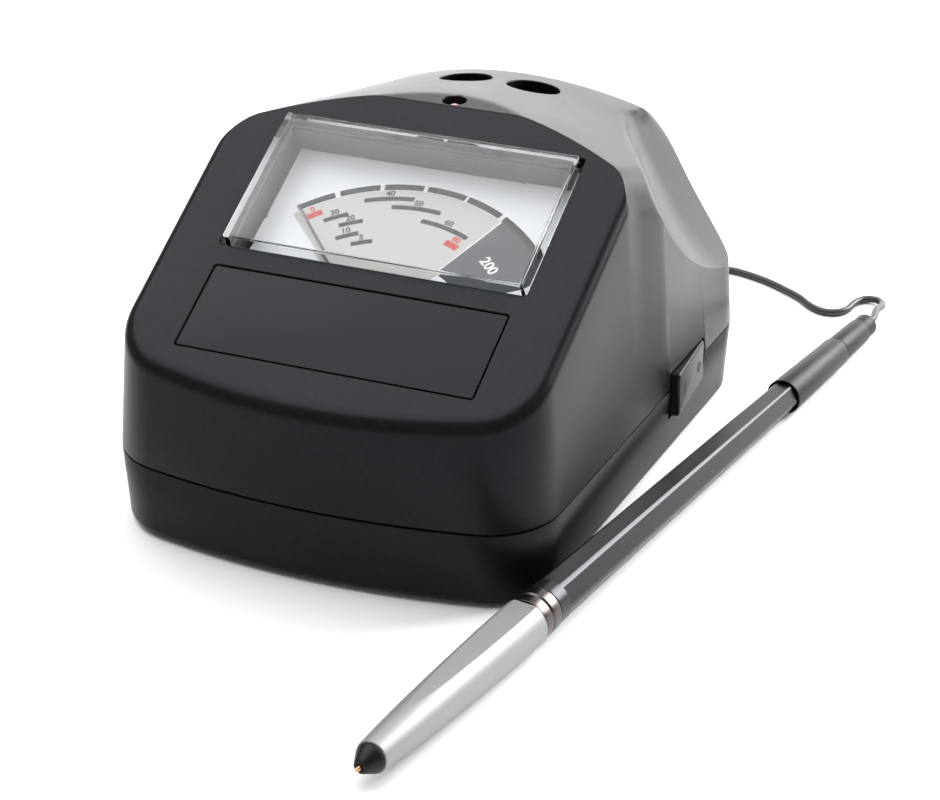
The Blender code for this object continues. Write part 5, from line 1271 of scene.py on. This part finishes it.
def numberMesh(text, size):
    letters = bpy.data.curves.new("number", "FONT")
    letters.body = text
    letters.size = size
    letters.align_x = "CENTER"
    letters.align_y = "CENTER"
    letters.extrude = meterSetup["ink"] / 2
    letters.offset = size * numberSetup["weight"]
    letters.resolution_u = numberSetup["resolution"]
    holder = looseObject("number", letters)
    mesh = evaluatedMesh(holder)
    bpy.data.objects.remove(holder, do_unlink=True)
    return mesh


def makeNumbers(name, finish, size, marks):
    height = meterSetup["dialFace"] + meterSetup["ink"] * numberSetup["layer"]

    def build(bm):
        for text, angle, radius in marks:
            turn = math.radians(angle)
            mesh = numberMesh(text, size)
            place = Matrix.Translation(dialPoint(radius, turn, height))
            mesh.transform(place @ Matrix.Rotation(-turn, 4, "Z"))
            bm.from_mesh(mesh)
            bpy.data.meshes.remove(mesh)

    dialPiece(name, build, finish)


makeCover()
for row in dialPrint:
    makeArcs(*row)
for row in dialNumbers:
    makeNumbers(*row)
print("meter made")

# Lamp and wells

lampSetup = {"top": 0.0771, "radius": 0.0018, "length": 0.0050}


def makeLamp():
    top, radius = lampSetup["top"], lampSetup["radius"]
    dome = [(radius - into, top - drop) for into, drop in quarter(radius, steps=12, fromSide=False)]
    base = top - lampSetup["length"]
    dome += [(radius, base), (0.0, base)]
    place = onCase(0, shellSetup["lamp"][0])
    mesh = revolve("lampLens", dome, segments=48)
    makePiece("lampLens", mesh, place, "lamp", "case", "lamp", ("lamp_lens",))


wellSetup = {
    "rim": 0.0681835,
    "floor": 0.0560835,
    "outer": 0.0072,
    "skin": 0.001,
    "edge": 0.0003,
    # radius, lift off the floor, thickness, edge, inner rings above and below
    "disc": (0.0058, 0.0003, 0.0015, 0.0002, 0.002, 0.001),
    # side, word, finish, slot
    "sides": ((-1, "Left", "glassDisc", "glass_disc"), (1, "Right", "metalDisc", "metal_disc")),
}


def makeWells():
    setup = wellSetup
    rim, floor, outer, skin = setup["rim"], setup["floor"], setup["outer"], setup["skin"]
    x, y = shellSetup["wellPlace"]
    bore = shellSetup["well"][0]
    cup = rounded([(outer, rim), (outer, floor - skin), (0.0, floor - skin)], setup["edge"])
    cup += [(0.0, floor)] + rounded([(skin, floor), (bore, floor), (bore, rim)], setup["edge"])
    face, lift, thickness, edge, above, below = setup["disc"]
    low = floor + lift
    high = low + thickness
    disc = [(0.0, high)] + rounded([(above, high), (face, high), (face, low), (below, low)], edge)
    disc.append((0.0, low))
    for side, word, finish, slotName in setup["sides"]:
        place = onCase(side * x, y)
        makePiece(
            "wellCup" + word, revolve("wellCup", cup, 64, closed=True), place, "innerBlack", "case",
            "inner_black", ("well_cup_" + word.lower(),))
        makePiece(
            "referenceDisc" + word, revolve("disc", disc, 56), place, finish, "case", slotName,
            ("reference_disc_" + word.lower(),))


makeLamp()
makeWells()
print("lamp and wells made")

# Rocker, with a raised bar and ring at the ends of its face

rockerSetup = {
    "length": 0.0203,
    "height": 0.0107,
    "corner": 0.0009,
    "proud": 0.00175,
    "pinDepth": 0.0046,
    "thickness": 0.0060,
    "edge": 0.0007,
    "backEdge": 0.0003,
    "sunk": 0.0002,
    "raised": 0.00006,
    # place, half width, half height, corner
    "bar": (-0.0048, 0.0009, 0.0012, 0.0003),
    # place, outer radius, inner radius, points round
    "ring": (0.0062, 0.0013, 0.0009, 28),
    "marksSharp": 30,
}


def makeRocker():
    setup = rockerSetup
    face = setup["pinDepth"]
    tilt = Matrix.Rotation(math.asin(setup["proud"] / setup["length"]), 4, "Z")
    facing = rockerFrame @ Matrix.Translation((setup["proud"] / 2 - face, 0, 0)) @ tilt @ slotTurn
    length, height, back = setup["length"] / 2, setup["height"] / 2, face - setup["thickness"]
    levels = [(-setup["backEdge"], back), (0.0, back + setup["backEdge"])]
    levels += [(-into, face - drop) for into, drop in quarter(setup["edge"], steps=6)]
    rings = layered(lambda grow: roundedRect(length, -height, height, setup["corner"], grow), levels)
    makePiece("rockerButton", loftMesh("rockerButton", rings), facing, "case", "rocker", "case", ("rocker",))

    def build(bm):
        low, high = face - setup["sunk"], face + setup["raised"]
        place, half, tall, corner = setup["bar"]
        bar = roundedRect(half, -tall, tall, corner)
        loftRings(bm, [[(x + place, y, z) for x, y in bar] for z in (low, high)])
        place, outer, inner, count = setup["ring"]
        section = ((inner, low), (outer, low), (outer, high), (inner, high))
        loftRings(bm, [
            [(x, y, z) for x, y in circlePoints(place, 0.0, radius, count)] for radius, z in section],
            closed=True)

    makePiece(
        "rockerMarks", meshFrom("rockerMarks", build), facing, "softBlack", "rocker", "case", (),
        setup["marksSharp"])


makeRocker()

# Probe

# look, segments, steps at a corner, closed; then (radius, distance from the tip, corner radius)
probeTurned = {
    "probeTipPin": (("copper", "probe_tip", "copper", ("probe_tip_pin",)), 32, 4, False, (
        (0.0, 0.0, 0), (0.00028, 0.0001, 0), (0.00045, 0.0005, 0), (0.00045, 0.0100, 0),
        (0.0014, 0.0100, 0), (0.0014, 0.0110, 0), (0.00045, 0.0110, 0), (0.00045, 0.0140, 0),
        (0.0, 0.0140, 0))),
    "probeTipCap": (("tipBlack", "probe", "inner_black", ("probe_tip_cap",)), 64, 5, True, (
        (0.0007, 0.0085, 0), (0.0007, 0.0013, 0.0001), (0.0014, 0.0013, 0.0004),
        (0.00335, 0.0049, 0.0003), (0.0022, 0.0049, 0.0001), (0.0022, 0.0085, 0.0001))),
    "probeNose": (("chrome", "probe", "polished", ("probe_nose",), 25), 144, 0, True, ()),
    "probeCollar": (("darkChrome", "probe", "dark_chrome", ("probe_collar",)), 96, 4, True, (
        (0.0025, 0.0674, 0), (0.0050, 0.0674, 0.00015), (0.0050, 0.0648, 0.0001), (0.0046, 0.0644, 0.0001),
        (0.0050, 0.0640, 0.0001), (0.0050, 0.0614, 0.00015), (0.0025, 0.0614, 0))),
    "probeBarrel": (("glossBlack", "probe", "gloss_black", ("probe_barrel",), 6), 144, 4, True, (
        (0.0025, 0.1885, 0), (0.0030, 0.1885, 0.0001), (0.0030, 0.1805, 0), (0.00375, 0.1805, 0.0002),
        (0.00478, 0.0677, 0.0003), (0.0025, 0.0677, 0))),
    "probeBoot": (("softBlack", "probe", "soft_black", ("probe_boot",)), 96, 4, False, (
        (0.0, 0.2100, 0), (0.00365, 0.2100, 0.0003), (0.00425, 0.1808, 0.00018), (0.0039, 0.1808, 0.0001),
        (0.0039, 0.1820, 0.0001), (0.0033, 0.1820, 0.0001), (0.0033, 0.1888, 0), (0.0, 0.1888, 0))),
    "probeSleeve": (("softBlack", "probe", "soft_black", ("probe_sleeve",)), 80, 4, False, (
        (0.0, 0.2240, 0), (0.00315, 0.2240, 0.0003), (0.0034, 0.2103, 0.0003), (0.0, 0.2103, 0))),
    "probeEndCap": (("softBlack", "probe", "soft_black", ("probe_end_cap",)), 80, 4, False, (
        (0.0, 0.2290, 0), (0.0021, 0.2290, 0.0002), (0.0029, 0.2282, 0.0002), (0.0029, 0.2243, 0.0001),
        (0.0, 0.2243, 0))),
}

noseSetup = {
    # share of the length, share of the rise in radius
    "shares": ((0.12, 0.25), (0.3, 0.53), (0.55, 0.79), (0.8, 0.96), (0.96, 1.0)),
    "fitPower": 4,
    "fitShare": 0.65,
    "start": 0.0052,
    "end": 0.0611,
    "front": 0.00345,
    "rear": 0.00535,
    "bore": 0.0025,
    "edge": 0.0002,
    "facetStart": 0.0180,
    "facetDepth": 0.0007,
    "facetBack": 0.004,
    "blockHalf": 0.006,
    # width, segments, angle
    "bevel": (0.00010, 2, 12),
}

barrelSetup = {
    "low": 0.0677,
    "high": 0.1805,
    "front": 0.00478,
    "back": 0.00375,
    "flats": 6,
    "flatDepth": 0.0004,
    "flatStart": 0.0715,
    "over": 0.004,
    "blockHalf": 0.0047,
}


def noseProfile(count=40):
    # from the tip cap to the collar, between the straight lines and a smooth fit
    setup = noseSetup
    stations, rises = zip((0.0, 0.0), *setup["shares"], (1.0, 1.0))
    fit = np.polynomial.Polynomial.fit(stations, rises, setup["fitPower"])
    points = []
    for i in range(count + 1):
        along = i / count
        straight = float(np.interp(along, stations, rises))
        rise = straight * (1 - setup["fitShare"]) + float(min(1.0, fit(along))) * setup["fitShare"]
        points.append((
            setup["front"] + (setup["rear"] - setup["front"]) * rise,
            setup["start"] + (setup["end"] - setup["start"]) * along))
    return points


def noseOutline():
    setup = noseSetup
    bore, start, end, edge = setup["bore"], setup["start"], setup["end"], setup["edge"]
    outer = noseProfile()
    front, rear = outer[0][0], outer[-1][0]
    return [
        (bore, start), (front - edge, start), (front, start + edge), *outer[1:-1],
        (rear, end - edge), (rear - edge, end), (bore, end)]


def flatCutter(name, radius, start, tilt, turn, half, low, high):
    # a block that takes away what lies beyond a plane along the probe
    block = ((0.0, -half), (half, -half), (half, half), (0.0, half))
    axes = probeFrame @ turn @ Matrix.Translation((radius, 0, start)) @ Matrix.Rotation(tilt, 4, "Y")
    return looseObject(name, prism(name, block, low, high), axes)


def cutNose(nose):
    setup = noseSetup
    outer = noseProfile()
    start, end = setup["facetStart"], setup["end"]
    radius = float(np.interp(start, [z for _, z in outer], [r for r, _ in outer]))
    tilt = math.atan((setup["rear"] - setup["facetDepth"] - radius) / (end - start))
    cutWith(nose, [flatCutter(
        "noseFacet", radius, start, tilt, Matrix.Identity(4), setup["blockHalf"], -setup["facetBack"], end)])
    bevelled(nose, *setup["bevel"])


def cutBarrel(barrel):
    setup = barrelSetup
    start, count = setup["flatStart"], setup["flats"]
    taper = (setup["front"] - setup["back"]) / (setup["high"] - setup["low"])
    reach = setup["front"] - taper * (start - setup["low"]) - setup["flatDepth"]
    cutWith(barrel, [
        flatCutter(
            f"barrelFlat{i + 1}", reach, start, -math.atan(taper),
            Matrix.Rotation(math.tau * i / count, 4, "Z"), setup["blockHalf"],
            0.0, setup["high"] + setup["over"] - start)
        for i in range(count)])


def makeProbe():
    for name, (look, segments, steps, closed, profile) in probeTurned.items():
        points = [(radius, along) for radius, along, _ in profile]
        corners = [corner for _, _, corner in profile]
        outline = rounded(points, corners, steps, closed) if profile else noseOutline()
        piece = looseObject(name, revolve(name, outline, segments, closed), probeFrame)
        if name == "probeNose":
            cutNose(piece)
        if name == "probeBarrel":
            cutBarrel(piece)
        finishPiece(piece, *look)


makeProbe()
print("probe made")

# Carried nodes keep their solids and get their finishes


def numbered(stem, count):
    return [f"{stem}_{i + 1}" for i in range(count)]


screws = numbered("case_screw", 4)
feet = numbered("foot", 4)
cells = numbered("cell", 3)
capacitors = numbered("capacitor", 2)
contacts = ["contact_plate_front", "contact_plate_rear"]

carried = {
    "meterGrey": ["meter_case"],
    "dialCard": ["dial_plate", "board_plug"],
    "needle": ["needle"],
    "copper": ["moving_coil"],
    "magnet": ["meter_magnet"],
    "brass": ["pivot_bridge", "probe_core"],
    "innerBlack": ["lamp_holder", "processor_chip", "switch_housing", "adapter_socket", "battery_tray"],
    "board": ["circuit_board"],
    "sleeve": capacitors + cells,
    "softBlack": ["cord_gland"],
    "case": ["battery_door"],
    "nickel": [*contacts, "probe_tip_spring"],
    "steel": screws,
    "foot": feet,
}
edgeWidths = {
    0.0001: ["dial_plate", "circuit_board", "processor_chip", *contacts],
    0.0002: ["pivot_bridge", "lamp_holder", "board_plug", *screws],
    0.0003: ["battery_tray", "meter_magnet", "switch_housing", "adapter_socket", "cord_gland"],
    0.0004: ["meter_case", "battery_door", *cells, *capacitors, *feet],
}
carriedSetup = {"bevelSegments": 2, "bevelAngle": 40, "sharp": 32}


def makeSoftShading():
    # smooth faces that keep a crisp line at every real edge
    group = bpy.data.node_groups.new("softShading", "GeometryNodeTree")
    for side in ("INPUT", "OUTPUT"):
        group.interface.new_socket("Mesh", in_out=side, socket_type="NodeSocketGeometry")
    source = group.nodes.new("NodeGroupInput")
    sink = group.nodes.new("NodeGroupOutput")
    smooth = group.nodes.new("GeometryNodeSetShadeSmooth")
    crisp = group.nodes.new("GeometryNodeSetShadeSmooth")
    crisp.domain = "EDGE"
    crisp.inputs["Shade Smooth"].default_value = False
    angle = group.nodes.new("GeometryNodeInputMeshEdgeAngle").outputs["Unsigned Angle"]
    over = mathNode(group, "GREATER_THAN", angle, math.radians(carriedSetup["sharp"]))
    group.links.new(over, crisp.inputs["Selection"])
    group.links.new(source.outputs[0], smooth.inputs[0])
    group.links.new(smooth.outputs[0], crisp.inputs[0])
    group.links.new(crisp.outputs[0], sink.inputs[0])
    return group


def dressCarried():
    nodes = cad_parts
    for finish, names in carried.items():
        for name in names:
            nodes[name].data.materials.clear()
            nodes[name].data.materials.append(finishes[finish])
    for width, names in edgeWidths.items():
        for name in names:
            bevelled(nodes[name], width, carriedSetup["bevelSegments"], carriedSetup["bevelAngle"])
    softShading = makeSoftShading()
    for names in carried.values():
        for name in names:
            nodes[name].modifiers.new("shading", "NODES").node_group = softShading


dressCarried()

# Floor and light

studio = {
    "floorSize": 6.0,
    "floorColour": (0.93, 0.93, 0.93),
    "floorRoughness": 0.9,
    "floorSpecular": 0.1,
    "floorDrop": 0.00002,
    "worldStrength": 0.30,
    # name, place, aim, width, height, radiance
    "lights": (
        ("topSoftbox", (-0.45, 0.05, 1.3), (0.0, 0.05, 0.03), 1.5, 1.4, 3.9),
        ("backSoftbox", (0.0, 1.9, 0.42), (0.0, 0.0, 0.05), 4.2, 0.80, 3.3),
        ("rearSoftbox", (0.62, 0.80, 0.62), (0.13, 0.20, 0.0), 0.7, 0.6, 20.0),
    ),
}


def makeStudio():
    size = studio["floorSize"] / 2
    floor = bpy.data.meshes.new("floor")
    corners = [(-size, -size, 0), (size, -size, 0), (size, size, 0), (-size, size, 0)]
    floor.from_pydata(corners, [], [(0, 1, 2, 3)])
    material, _, shader = newMaterial("paleFloor")
    shader["Base Color"].default_value = (*studio["floorColour"], 1)
    shader["Roughness"].default_value = studio["floorRoughness"]
    shader["Specular IOR Level"].default_value = studio["floorSpecular"]
    floor.materials.append(material)
    plane = looseObject("floor", floor, Matrix.Translation((0, 0, -studio["floorDrop"])))
    world = bpy.data.worlds.new("studio")
    world.use_nodes = True
    world.node_tree.nodes["Background"].inputs["Color"].default_value = (1, 1, 1, 1)
    world.node_tree.nodes["Background"].inputs["Strength"].default_value = studio["worldStrength"]
    scene.world = world
    for name, place, target, width, height, radiance in studio["lights"]:
        data = bpy.data.lights.new(name, "AREA")
        data.shape = "RECTANGLE"
        data.size = width
        data.size_y = height
        data.energy = radiance * width * height * math.pi
        light = bpy.data.objects.new(name, data)
        aim = Vector(target) - Vector(place)
        light.matrix_world = Matrix.Translation(place) @ aim.to_track_quat("-Z", "Y").to_matrix().to_4x4()
        scene.collection.objects.link(light)


makeStudio()
print("studio lit")
